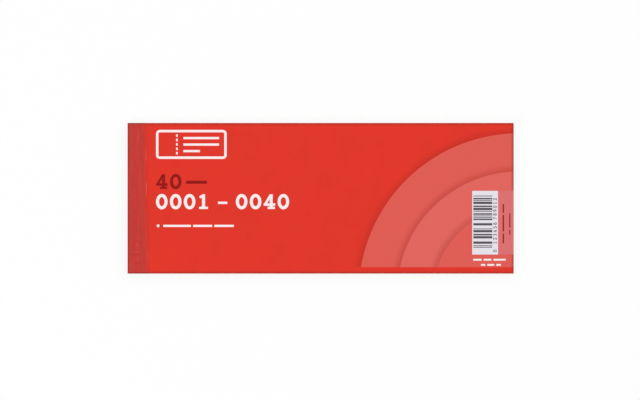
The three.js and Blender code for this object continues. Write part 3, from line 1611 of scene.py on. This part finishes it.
@dataclass
class FrontCover(Assembly):
    """The front cover: one sheet of printed card that dips into the crease."""

    raw: PlainFinish = PlainFinish(
        name="cover_inside",
        colour=paint("ece6da"),
        speck=paint("cdbfae"),
        source=PlaceSource.SHEET,
        speck_share=0.35,
        grain=1.4,
        roughness=(0.72, 0.86),
        relief_mm=0.015,
    )
    edge_round: float = 0.07 * MM
    under_gap: float = 0.006 * MM
    column_count: int = 24
    row_count: int = 13

    def columns(self) -> list[float]:
        """The sheet's columns: close together in the bend, then wide, with one at the rim."""
        bend = self.plan.bend_columns()
        inner = self.plan.free_x - self.edge_round
        return [*bend, *spread(bend[-1], inner, self.column_count)[1:], self.plan.free_x]

    def build(self) -> bpy.types.Object:
        """Builds and dresses the cover.

        Returns:
            The sheet.
        """
        plan = self.plan
        thickness = plan.top_z - plan.stack_top
        rim = plan.top_y - self.edge_round
        sheet = Sheet(
            name="front_cover_sheet",
            columns=self.columns(),
            rows=[plan.bottom_y, *spread(-rim, rim, self.row_count), plan.top_y],
            upper=lambda x: plan.pinched(x, plan.clamp_top + thickness, plan.top_z),
            lower=lambda x: plan.pinched(x, plan.clamp_top, plan.stack_top) + self.under_gap,
            edge_drop=self.edge_round,
        )
        printed = CoverPrint()
        cut = replace(self.raw, name="cover_cut_edge", colour=printed.cut_card)
        piece = sheet.build([
            printed.make(self.bench, PlaceSource.SHEET, "cover_print", plain=False),
            self.raw.make(self.bench),
            cut.make(self.bench),
        ])
        plan.bend(piece, "front_cover")
        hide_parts("front_cover")
        return piece


class Ink(Enum):
    """The inks of the cover's flat print, in the order of its materials."""

    WHITE = 0
    DARK_RED = 1
    BLACK = 2
    PINK = 3
    PALE = 4


@dataclass(frozen=True)
class BrokenRule:
    """A rule of one dash or more on the cover, in millimetres from the middle of the book."""

    low: Point
    dashes: tuple[float, ...]
    width: float
    ink: Ink = Ink.WHITE
    upright: bool = False
    gap: float = 1.1
    over: bool = False

    def lay(self, sheet: FlatPrint, level: float, lift: float) -> None:
        """Adds the dashes to a print.

        Args:
            sheet: The print that takes the shapes.
            level: The height of the ink.
            lift: How much higher the rule is where it lies over other ink.
        """
        x, y = self.low
        z = level + (lift if self.over else 0.0)
        for dash in self.dashes:
            wide, tall = (self.width, dash) if self.upright else (dash, self.width)
            sheet.box((x * MM, y * MM), ((x + wide) * MM, (y + tall) * MM), z, self.ink.value)
            if self.upright:
                y += dash + self.gap
            else:
                x += dash + self.gap


@dataclass
class CoverPrinting(Assembly):
    """The flat print on the cover: plain numerals, rules, a leaf sign and a block of bars."""

    numerals: Numerals
    small_numerals: Numerals
    lift: float = 0.02 * MM
    left: float = -86.1 * MM
    sign_low: Point = (-86.1 * MM, 20.6 * MM)
    sign_high: Point = (-49.1 * MM, 35.8 * MM)
    sign_line: float = 1.3 * MM
    sign_corner: float = 2.0 * MM
    title_height: float = 7.7 * MM
    count_y: float = 4.9 * MM
    span_y: float = -5.6 * MM
    title_end: float = -59.4 * MM
    title_rule_y: Range = (0.35, 0.56)
    title_rule_space: float = 0.15
    bullet: Point = (-85.0 * MM, -14.4 * MM)
    bullet_radius: float = 0.75 * MM
    block_low: Point = (79.3 * MM, -29.4 * MM)
    block_high: Point = (92.8 * MM, 3.9 * MM)
    strip_trim: float = 0.1 * MM
    bars_low: Point = (79.9 * MM, -25.8 * MM)
    bars_high: Point = (89.8 * MM, 1.3 * MM)
    bar_module: float = 0.40 * MM
    bar_widths: tuple[int, ...] = (1, 1, 2, 3)
    bar_gaps: tuple[int, ...] = (1, 1, 2, 4)
    bar_seed: int = 298
    digits: str = "0   123456 789012"
    digits_start: Point = (92.15 * MM, -28.1 * MM)
    digits_height: float = 1.9 * MM
    sign_rules: tuple[BrokenRule, ...] = (
        BrokenRule((-75.6, 22.95), (1.3, 1.3, 1.3, 1.3, 1.3), 0.9, upright=True, gap=1.0),
        BrokenRule((-71.8, 24.1), (8.7,), 1.2),
        BrokenRule((-71.8, 27.5), (18.7,), 1.2),
        BrokenRule((-71.8, 30.9), (18.7,), 1.2),
    )
    small_rules: tuple[BrokenRule, ...] = (
        BrokenRule((-82.3, -15.0), (14.5, 10.0, 10.2), 1.15),
        BrokenRule((95.2, -23.6), (5.2, 8.6, 4.6), 0.7, Ink.DARK_RED, upright=True, over=True),
        BrokenRule((98.7, -19.0), (2.6, 7.4), 0.55, Ink.DARK_RED, upright=True, over=True),
        BrokenRule((79.8, -32.6), (4.4, 4.0, 6.4), 0.95),
        BrokenRule((83.9, -35.3), (2.2, 3.6, 2.4), 0.95),
    )
    inks: tuple[PlainFinish, ...] = (
        PlainFinish("white_ink", paint("faeeee"), paint("ecd3ce")),
        PlainFinish("dark_red_ink", paint("8e0a02"), paint("a01a10")),
        PlainFinish("black_ink", paint("524c52"), paint("686167")),
        PlainFinish("pink_ink", paint("dc6f70"), paint("d0605f")),
        PlainFinish("pale_ink", paint("e6e3ea"), paint("d8cfd6")),
    )

    @property
    def ink_level(self) -> float:
        """The height of the ink over the cover."""
        return self.plan.top_z + self.lift

    def leaf_sign(self, sheet: FlatPrint) -> None:
        """Adds a plain outline of a leaf with its tear line and three rules.

        Args:
            sheet: The print that takes the shapes.
        """
        level, ink = self.ink_level, Ink.WHITE.value
        sheet.frame(self.sign_low, self.sign_high, self.sign_line, self.sign_corner, level, ink)
        for rule in self.sign_rules:
            rule.lay(sheet, level, self.lift)

    def titles(self, sheet: FlatPrint) -> None:
        """Adds the numerals: how many leaves, and the first and last receipt's numbers.

        Args:
            sheet: The print that takes the shapes.
        """
        level, tall, leaves = self.ink_level, self.title_height, self.plan.leaf_count
        count, span = f"{leaves:02d}", f"0001 - {leaves:04d}"
        dark, white = Ink.DARK_RED.value, Ink.WHITE.value
        self.numerals.lay(sheet, count, (self.left, self.count_y), tall, level, dark)
        self.numerals.lay(sheet, span, (self.left, self.span_y), tall, level, white)
        start = self.left + (len(count) + self.title_rule_space) * self.numerals.pitch * tall
        low, high = (self.count_y + share * tall for share in self.title_rule_y)
        sheet.box((start, low), (self.title_end, high), level, dark)

    def bar_block(self, sheet: FlatPrint) -> None:
        """Adds the block of bars: pale ground, bars of chance widths, digits and a pink strip.

        Args:
            sheet: The print that takes the shapes.
        """
        level, black = self.ink_level, Ink.BLACK.value
        over = level + self.lift
        strip_low = (self.block_high[0], self.block_low[1])
        strip_high = (self.plan.free_x - self.strip_trim, self.block_high[1])
        sheet.box(self.block_low, self.block_high, level, Ink.PALE.value)
        sheet.box(strip_low, strip_high, level, Ink.PINK.value)
        chance = random.Random(self.bar_seed)
        y = self.bars_low[1]
        while y < self.bars_high[1]:
            top = y + chance.choice(self.bar_widths) * self.bar_module
            sheet.box((self.bars_low[0], y), (self.bars_high[0], top), over, black)
            y = top + chance.choice(self.bar_gaps) * self.bar_module
        start, tall = self.digits_start, self.digits_height
        self.small_numerals.lay(sheet, self.digits, start, tall, over, black, upright=True)

    def build(self) -> bpy.types.Object:
        """Builds and dresses the print.

        Returns:
            The print as one piece.
        """
        sheet = FlatPrint()
        self.leaf_sign(sheet)
        self.titles(sheet)
        sheet.disc(self.bullet, self.bullet_radius, self.ink_level, Ink.WHITE.value)
        self.bar_block(sheet)
        for rule in self.small_rules:
            rule.lay(sheet, self.ink_level, self.lift)
        piece = sheet.build("cover_flat_print", [ink.make(self.bench) for ink in self.inks])
        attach(piece, "front_cover")
        return piece


@dataclass(frozen=True)
class Wrinkle:
    """A small ridge or dent in the tape, in millimetres, and its share of the full height."""

    centre: Point
    half: Point
    share: float

    def press(self, x: float, y: float, fade: float) -> float:
        """How strongly it lifts or sinks a point.

        Args:
            x: The place across the book in metres.
            y: The place up the book.
            fade: How far outside its box it ends.

        Returns:
            A share from -1 to 1.
        """
        across = max(abs(x - self.centre[0] * MM) - self.half[0] * MM, 0.0)
        along = max(abs(y - self.centre[1] * MM) - self.half[1] * MM, 0.0)
        return self.share * (1.0 - smooth_step(math.hypot(across, along) / fade))


@dataclass(frozen=True)
class Wave:
    """A small wave in the tape's edge: millimetres high, with radians of turn for each one along Y."""

    height: float
    turn: float
    start: float = 0.0

    def at(self, y: float) -> float:
        """How far it moves the edge at a height up the book, in metres."""
        return self.height * MM * math.sin(y / MM * self.turn + self.start)


@dataclass(frozen=True)
class TapeStep:
    """One step of the tape's section, with its outer and inner point as X and Z."""

    outer: Point
    inner: Point
    lap: float
    press: float = 0.0


@dataclass
class SpineTape(Assembly):
    """The tape: one strip lapped over the front, round the spine and over the back."""

    back_lap: float = 10.6 * MM
    corner: float = 0.45 * MM
    under_gap: float = 0.004 * MM
    row_count: int = 241
    edge_shares: tuple[float, ...] = (0.0, 0.012)
    front_shares: Range = (0.04, 1.0)
    front_steps: int = 44
    corner_steps: int = 7
    back_steps: int = 12
    edge_thinning: float = 0.6
    waves: tuple[Wave, ...] = (Wave(0.04, 0.31), Wave(0.02, 1.13, 1.0))
    staple_from_spine: float = 5.5 * MM
    staple_from_edge: float = 13.4 * MM
    staple_half_crown: float = 6.0 * MM
    staple_half_wire: float = 0.35 * MM
    bump_height: float = 0.09 * MM
    bump_fade: float = 0.55 * MM
    dent_depth: float = 0.05 * MM
    crown_press: float = 0.3
    corner_press: float = 0.35
    corner_fade: float = 0.88 * MM
    wrinkles: tuple[Wrinkle, ...] = (
        Wrinkle((-95.9, -24.4), (0.3, 1.0), 0.7),
        Wrinkle((-94.7, -22.9), (0.7, 0.2), -0.9),
        Wrinkle((-96.4, -28.2), (1.5, 0.1), 0.6),
        Wrinkle((-96.5, -29.2), (1.6, 0.15), -0.8),
        Wrinkle((-95.4, -33.9), (1.2, 0.3), -0.6),
        Wrinkle((-95.5, 33.7), (0.05, 3.0), 0.7),
        Wrinkle((-98.7, 33.0), (0.1, 3.6), 0.5),
        Wrinkle((-92.7, 31.4), (0.2, 2.2), -0.6),
        Wrinkle((-95.1, 20.9), (0.8, 0.2), -0.6),
        Wrinkle((-97.2, 2.5), (0.05, 2.6), 0.4),
        Wrinkle((-93.6, -5.2), (0.05, 1.8), 0.4),
    )

    @property
    def thickness(self) -> float:
        """The tape's own thickness, with the gap under it taken off."""
        return self.plan.tape_thickness - self.under_gap

    def front_lap(self, y: float) -> float:
        """How far the tape laps over the front at a height.

        Args:
            y: The height up the book.

        Returns:
            The lap from the spine, a little wavy.
        """
        moved = sum(wave.at(y) for wave in self.waves)
        return min(self.plan.front_lap(y) + moved, self.plan.front_lap_bottom)

    def staple_press(self, x: float, y: float) -> float:
        """How strongly the staples and the wrinkles press the tape up or down.

        Args:
            x: The place across the book.
            y: The place up the book.

        Returns:
            A share from -1 to 1, the staples' most at the ends of their crowns.
        """
        plan = self.plan
        across = abs(x - plan.spine_x - self.staple_from_spine) - self.staple_half_wire
        centre = plan.top_y - self.staple_from_edge
        along = abs(abs(y) - centre) - self.staple_half_crown
        off = math.hypot(max(across, 0.0), max(along, 0.0))
        crown = 1.0 - smooth_step(off / self.bump_fade)
        from_corner = math.hypot(max(across, 0.0), abs(along))
        corners = 1.0 - smooth_step(from_corner / self.corner_fade)
        wrinkled = sum(wrinkle.press(x, y, self.bump_fade) for wrinkle in self.wrinkles)
        press = self.crown_press * crown + self.corner_press * corners + wrinkled
        return max(min(press, 1.0), -1.0)

    def front_part(self, y: float) -> list[TapeStep]:
        """The section's part over the front, from the lap's edge to the spine.

        Args:
            y: The height up the book.

        Returns:
            Its steps, raised and sunk by the staples and the wrinkles.
        """
        top, far = self.plan.top_z, self.plan.spine_x + self.corner
        edge = self.plan.spine_x + self.front_lap(y)
        thick = self.thickness
        steps: list[TapeStep] = []
        for share in [*self.edge_shares, *spread(*self.front_shares, self.front_steps)]:
            x = edge + (far - edge) * share
            press = self.staple_press(x, y)
            rise = press * (self.bump_height if press > 0.0 else self.dent_depth)
            thinned = thick * self.edge_thinning if share == 0.0 else 0.0
            inner = (x, top - thick + max(rise, 0.0))
            steps.append(TapeStep((x, top - thinned + rise), inner, edge - x, press))
        return steps

    def corner_part(self, centre_z: float, start: float, lap: float) -> list[TapeStep]:
        """The section's part round one corner of the spine.

        Args:
            centre_z: The height of the corner's middle.
            start: The turn at which it starts, as a share of half a turn.
            lap: The distance from the lap's edge that its steps keep.

        Returns:
            Its steps over a quarter turn.
        """
        centre_x = self.plan.spine_x + self.corner
        steps: list[TapeStep] = []
        for share in spread(start, start + 0.5, self.corner_steps):
            away = (math.cos(share * math.pi), math.sin(share * math.pi))
            outer, inner = (
                (centre_x + radius * away[0], centre_z + radius * away[1])
                for radius in (self.corner, self.corner - self.thickness)
            )
            steps.append(TapeStep(outer, inner, lap))
        return steps

    def profile(self, y: float) -> list[TapeStep]:
        """The tape's section at a height, from the front lap's edge round to the back lap's.

        Args:
            y: The height up the book.

        Returns:
            The steps of the section.
        """
        steps = self.front_part(y)
        lap = self.front_lap(y)
        steps += self.corner_part(self.plan.top_z - self.corner, 0.5, lap)
        steps += self.corner_part(self.corner, 1.0, lap)
        end = self.plan.spine_x + self.back_lap
        for x in spread(self.plan.spine_x + self.corner, end, self.back_steps)[1:]:
            steps.append(TapeStep((x, 0.0), (x, self.thickness), end - x))
        return steps

    @staticmethod
    def strip_faces(rows: int, steps: int) -> list[Corners]:
        """The faces of a strip whose rows hold their outer points and then their inner ones.

        Args:
            rows: How many rows there are.
            steps: How many steps a row has.

        Returns:
            The faces along the strip, and those that close its two ends.
        """
        ring = [*range(steps), *range(2 * steps - 1, steps - 1, -1)]
        faces: list[Corners] = []
        for row in range(rows - 1):
            base, after = row * 2 * steps, (row + 1) * 2 * steps
            for index, point in enumerate(ring):
                beside = ring[(index + 1) % len(ring)]
                faces.append((base + point, after + point, after + beside, base + beside))
        last = (rows - 1) * 2 * steps
        for step in range(steps - 1):
            a, b, c, d = step, step + 1, steps + step + 1, steps + step
            faces.append((a, b, c, d))
            faces.append((last + d, last + c, last + b, last + a))
        return faces

    def build(self) -> bpy.types.Object:
        """Builds and dresses the tape.

        Returns:
            The tape.
        """
        rows = spread(self.plan.bottom_y, self.plan.top_y, self.row_count)
        sections = [self.profile(y) for y in rows]
        faces = self.strip_faces(len(rows), len(sections[0]))
        points: list[Point3] = []
        laps: list[float] = []
        presses: list[float] = []
        for y, section in zip(rows, sections):
            points += [(step.outer[0], y, step.outer[1]) for step in section]
            points += [(step.inner[0], y, step.inner[1]) for step in section]
            laps += [step.lap / MM for step in section] * 2
            presses += [step.press for step in section] * 2
        material = TapeFinish().make(self.bench)
        piece = link_piece("binding_tape_strip", points, faces, [0] * len(faces), [material])
        smooth_piece(piece, points)
        for label, values in ((LAP_ATTRIBUTE, laps), (PRESS_ATTRIBUTE, presses)):
            kept = piece.data.attributes.new(label, "FLOAT", "POINT")
            kept.data.foreach_set("value", values)
        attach(piece, "bound_book")
        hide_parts("spine_tape")
        return piece


class LeafInk(Enum):
    """The inks of a leaf's print, in the order of its materials after the sheet's sides."""

    NUMBER = 0
    RULE = 1


@dataclass
class Leaves(Assembly):
    """The forty leaves. Most are one sheet, and some have their receipt as a loose slip."""

    numerals: Numerals
    paper: PaperFinish = PaperFinish(
        name="leaf_paper",
        colour=paint("fbf9f5"),
        speck=paint("f0ece4"),
        source=PlaceSource.SHEET,
        speck_share=0.22,
        grain=1.8,
        roughness=(0.78, 0.92),
    )
    cut_edge: Colour = paint("ece7dc")
    thickness: float = 0.078 * MM
    under_gap: float = 0.004 * MM
    ink_lift: float = 0.004 * MM
    tooth: float = 0.11 * MM
    tooth_pitch: float = 1.1 * MM
    tear_gap: float = 0.03 * MM
    trim_error: float = 0.12 * MM
    end_trim_error: float = 0.08 * MM
    stub_columns: int = 8
    slip_columns: int = 16
    loose_columns: int = 14
    row_count: int = 9
    form: LeafForm = LeafForm()
    chance: random.Random = field(default_factory=lambda: random.Random(TRIM_SEED))
    stub_number: Point = (-81.0 * MM, 25.0 * MM)
    slip_number: Point = (79.0 * MM, 24.6 * MM)
    number_height: float = 4.2 * MM
    materials: list[bpy.types.Material] = field(default_factory=list)

    def dress(self) -> None:
        """Makes the materials of the paper, the numbers and the rules, once for all leaves."""
        number = PlainFinish("number_ink", paint("a3231c"), paint("b84a42"), PlaceSource.SHEET)
        rule = PlainFinish("rule_ink", paint("c25a50"), paint("cf7d74"), PlaceSource.SHEET)
        edge = replace(self.paper, name="leaf_cut_edge", colour=self.cut_edge)
        face = self.paper.make(self.bench)
        self.materials = [face, face, *(finish.make(self.bench) for finish in (edge, number, rule))]

    def level(self, number: int, x: float) -> float:
        """The height of a leaf's lower face.

        Args:
            number: The leaf, counted from the front cover.
            x: The place across the book.

        Returns:
            The height.
        """
        plan = self.plan
        clamped = plan.clamp_top - number * plan.clamped_pitch
        flat = plan.stack_top - number * plan.leaf_pitch
        return plan.pinched(x, clamped, flat) + self.under_gap

    def sheet(
        self,
        name: str,
        number: int,
        columns: list[float],
        rows: list[float],
        toothed_column: int = -1,
    ) -> Sheet:
        """A sheet of paper at a leaf's level.

        Args:
            name: The piece's name.
            number: The leaf.
            columns: Its columns across X.
            rows: Its rows along Y.
            toothed_column: The column that the perforation's teeth are on, if any.

        Returns:
            The sheet.
        """
        return Sheet(
            name=name,
            columns=columns,
            rows=rows,
            upper=lambda x: self.level(number, x) + self.thickness,
            lower=lambda x: self.level(number, x),
            tooth=self.tooth,
            toothed_column=toothed_column,
        )

    def printing(self, number: int, stub: bool, slip: bool) -> FlatPrint:
        """A leaf's printed form and its number, once on each part that is shown.

        Args:
            number: The leaf.
            stub: Whether the counterfoil's part is on it.
            slip: Whether the receipt's part is on it.

        Returns:
            The print, just over the paper.
        """
        ink = FlatPrint()
        top = self.level(number, self.plan.free_x) + self.thickness + self.ink_lift
        text, tall = f"{number:03d}", self.number_height
        parts = (
            (stub, self.form.stub, self.stub_number),
            (slip, self.form.slip, self.slip_number),
        )
        for shown, rules, start in parts:
            if shown:
                self.numerals.lay(ink, text, start, tall, top, LeafInk.NUMBER.value)
                for rule in rules:
                    rule.lay(ink, top, LeafInk.RULE.value)
        return ink

    def toothed_rows(self) -> list[float]:
        """Rows that fall on the tips and roots of the perforation's teeth."""
        count = round((self.plan.top_y - self.plan.bottom_y) / self.tooth_pitch) * 2 + 1
        return spread(self.plan.bottom_y, self.plan.top_y, count)

    def trims(self) -> tuple[float, float, float]:
        """The small errors of the guillotine at one leaf: free edge, bottom and top."""
        limits = (self.trim_error, self.end_trim_error, self.end_trim_error)
        short, low, high = (self.chance.uniform(0.0, limit) for limit in limits)
        return short, low, high

    def build_whole(self, number: int) -> bpy.types.Object:
        """Builds a leaf whose receipt is still joined.

        Args:
            number: The leaf.

        Returns:
            The sheet.
        """
        plan = self.plan
        name = f"leaf_{number:02d}"
        short, low, high = self.trims()
        bend = plan.bend_columns()
        stub = spread(bend[-1], plan.tear_x, self.stub_columns)[1:]
        slip = spread(plan.tear_x, plan.free_x - short, self.slip_columns)[1:]
        columns = [*bend, *stub, *slip]
        rows = spread(plan.bottom_y + low, plan.top_y - high, self.row_count)
        sheet = self.sheet(f"{name}_sheet", number, columns, rows)
        piece = sheet.build(self.materials, self.printing(number, stub=True, slip=True))
        plan.bend(piece, name)
        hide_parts(name)
        return piece

    def build_stub(self, number: int) -> bpy.types.Object:
        """Builds the counterfoil of a leaf whose receipt is loose.

        Args:
            number: The leaf.

        Returns:
            The counterfoil.
        """
        plan = self.plan
        name = f"counterfoil_{number:02d}"
        bend = plan.bend_columns()
        stub = spread(bend[-1], plan.tear_x - self.tear_gap, self.stub_columns)[1:]
        columns = [*bend, *stub]
        last = len(columns) - 1
        sheet = self.sheet(f"{name}_sheet", number, columns, self.toothed_rows(), last)
        piece = sheet.build(self.materials, self.printing(number, stub=True, slip=False))
        plan.bend(piece, f"leaf_{number:02d}")
        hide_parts(name)
        return piece

    def build_slip(self, number: int) -> bpy.types.Object:
        """Builds a loose receipt.

        Args:
            number: The leaf.

        Returns:
            The receipt.
        """
        plan = self.plan
        name = f"receipt_{number:02d}"
        short, _, _ = self.trims()
        columns = spread(plan.tear_x + self.tear_gap, plan.free_x - short, self.loose_columns)
        sheet = self.sheet(f"{name}_sheet", number, columns, self.toothed_rows(), 0)
        piece = sheet.build(self.materials, self.printing(number, stub=False, slip=True))
        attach(piece, name)
        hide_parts(name)
        return piece

    def build(self) -> list[bpy.types.Object]:
        """Builds every leaf.

        Returns:
            The sheets, from the front of the book.
        """
        self.dress()
        found: list[bpy.types.Object] = []
        for number in range(1, self.plan.leaf_count + 1):
            if number in self.plan.loose_leaves:
                found += [self.build_stub(number), self.build_slip(number)]
            else:
                found.append(self.build_whole(number))
        return found


@dataclass
class BoundBlock(Assembly):
    """The fixed solids that stay: cover margin, back cover, pressed margins and staples."""

    def dress(self) -> list[str]:
        """Gives each solid its finish.

        Returns:
            The names of the solids.
        """
        bench, steel = self.bench, SteelFinish().make(self.bench)
        strip = CoverPrint().make(bench, PlaceSource.RIGID, "cover_margin_print", plain=True)
        finishes = {
            "front_cover_margin": strip,
            "back_cover": BackCard().make(bench),
            "bound_margin": BlockFinish().make(bench),
            "staple_upper": steel,
            "staple_lower": steel,
        }
        for name, material in finishes.items():
            mesh = frame["nodes"][name].data
            mesh.materials.clear()
            mesh.materials.append(material)
        return list(finishes)


# Studio


@dataclass(frozen=True)
class Lamp:
    """A square soft light that faces the book."""

    name: str
    place: Point3
    power: float
    size: float


@dataclass
class Studio(Assembly):
    """A white floor, soft lights and the camera straight above the book."""

    lens: float = 100.0
    frame_width: float = 334.75 * MM
    camera_x: float = -0.31 * MM
    camera_y: float = -0.89 * MM
    sensor: float = 36.0
    clip: Range = (0.01, 50.0)
    floor_half: float = 30.0
    floor_colour: Colour = paint("fbfbfb")
    cloud_colour: Colour = paint("f6f6f6")
    cloud: Grain = Grain(60.0, detail=2.0)
    cloud_share: float = 0.2
    floor_roughness: float = 0.9
    near_white: float = 0.78
    far_ramp_mm: Range = (450.0, 1500.0)
    world_strength: float = 0.62
    lamps: tuple[Lamp, ...] = (
        Lamp("key_light", (-1.05, -0.95, 1.15), 11.0, 0.9),
        Lamp("fill_light", (1.05, 0.95, 1.15), 7.5, 1.0),
        Lamp("top_light", (-0.35, 1.35, 1.05), 3.0, 0.8),
    )

    @staticmethod
    def seen_directly(canvas: NodeCanvas) -> Socket:
        """A mask of the rays that see the background itself: camera, glossy and transmission.

        Args:
            canvas: The node tree that takes the nodes.

        Returns:
            The mask.
        """
        path = canvas.add("ShaderNodeLightPath")
        kinds = ("Is Camera Ray", "Is Glossy Ray", "Is Transmission Ray")
        return canvas.most([path.outputs[kind] for kind in kinds])

    def floor(self) -> None:
        """Lays the floor: near white, with the book's shadow, and pure white further off."""
        ground = FlatPrint()
        half = self.floor_half
        ground.box((-half, -half), (half, half), 0.0)
        finish = Finish(self.bench, "studio_floor", PlaceSource.RIGID)
        cloud = finish.noise(finish.place, self.cloud)
        colour = finish.lay(self.floor_colour, self.cloud_colour, cloud, self.cloud_share)
        finish.set("Base Color", colour)
        finish.set("Roughness", self.floor_roughness)
        finish.set("Specular IOR Level", 0.0)
        away = finish.add("ShaderNodeVectorMath", operation="LENGTH")
        finish.feed(away.inputs[0], finish.place)
        far = finish.ramp(away.outputs["Value"], *self.far_ramp_mm)
        white = finish.add("ShaderNodeEmission")
        white.inputs["Color"].default_value = WHITE
        blend = finish.add("ShaderNodeMixShader")
        strength = finish.remap(far, self.near_white, 1.0)
        finish.feed(blend.inputs[0], finish.math("MULTIPLY", self.seen_directly(finish), strength))
        finish.tree.links.new(finish.shader.outputs[0], blend.inputs[1])
        finish.tree.links.new(white.outputs[0], blend.inputs[2])
        outlet = next(n for n in finish.tree.nodes if n.type == "OUTPUT_MATERIAL")
        finish.tree.links.new(blend.outputs[0], outlet.inputs["Surface"])
        piece = ground.build("studio_floor", [finish.material])

    def lights(self) -> None:
        """Hangs the lamps and sets an even white world."""
        for lamp in self.lamps:
            light = bpy.data.lights.new(lamp.name, "AREA")
            light.energy = lamp.power
            light.size = lamp.size
            stand = bpy.data.objects.new(lamp.name, light)
            stand.location = lamp.place
            stand.rotation_euler = (-Vector(lamp.place)).to_track_quat("-Z", "Y").to_euler()
            bpy.context.scene.collection.objects.link(stand)
        world = bpy.data.worlds.new("studio_world")
        world.use_nodes = True
        ground = next(n for n in world.node_tree.nodes if n.type == "BACKGROUND")
        canvas = NodeCanvas(world.node_tree)
        seen = self.seen_directly(canvas)
        lit = canvas.math("SUBTRACT", 1.0, seen)
        strength = canvas.math("ADD", seen, canvas.math("MULTIPLY", lit, self.world_strength))
        ground.inputs["Color"].default_value = WHITE
        canvas.feed(ground.inputs["Strength"], strength)
        bpy.context.scene.world = world

    def camera(self) -> None:
        """Hangs the camera over the book, looking straight down."""
        lens = bpy.data.cameras.new("photo_camera")
        lens.lens = self.lens
        lens.sensor_width = self.sensor
        lens.clip_start, lens.clip_end = self.clip
        stand = bpy.data.objects.new("photo_camera", lens)
        distance = self.frame_width * self.lens / self.sensor
        stand.location = (self.camera_x, self.camera_y, self.plan.top_z + distance)
        bpy.context.scene.collection.objects.link(stand)
        bpy.context.scene.camera = stand

    def build(self) -> None:
        """Builds the whole studio."""
        self.floor()
        self.lights()
        self.camera()
        bpy.context.scene.view_settings.view_transform = "Standard"


def main() -> None:
    """Builds the book and its studio."""
    logging.basicConfig(level=logging.INFO, format="%(message)s")
    bench = Workbench(BookPlan.from_frame(), Effects())
    Studio(bench).build()
    LOG.info("studio ready")
    cover = FrontCover(bench).build()
    LOG.info("built %s", cover.name)
    bold = Numerals(pen=0.21, width=0.79, pitch=0.945)
    small = Numerals(pen=0.16, pitch=1.05, space=0.40)
    printing = CoverPrinting(bench, bold, small).build()
    LOG.info("built %s", printing.name)
    tape = SpineTape(bench).build()
    LOG.info("built %s", tape.name)
    for leaf in Leaves(bench, Numerals(pen=0.11)).build():
        LOG.info("built %s", leaf.name)
    for name in BoundBlock(bench).dress():
        LOG.info("dressed %s", name)


if __name__ == "__main__":
    main()
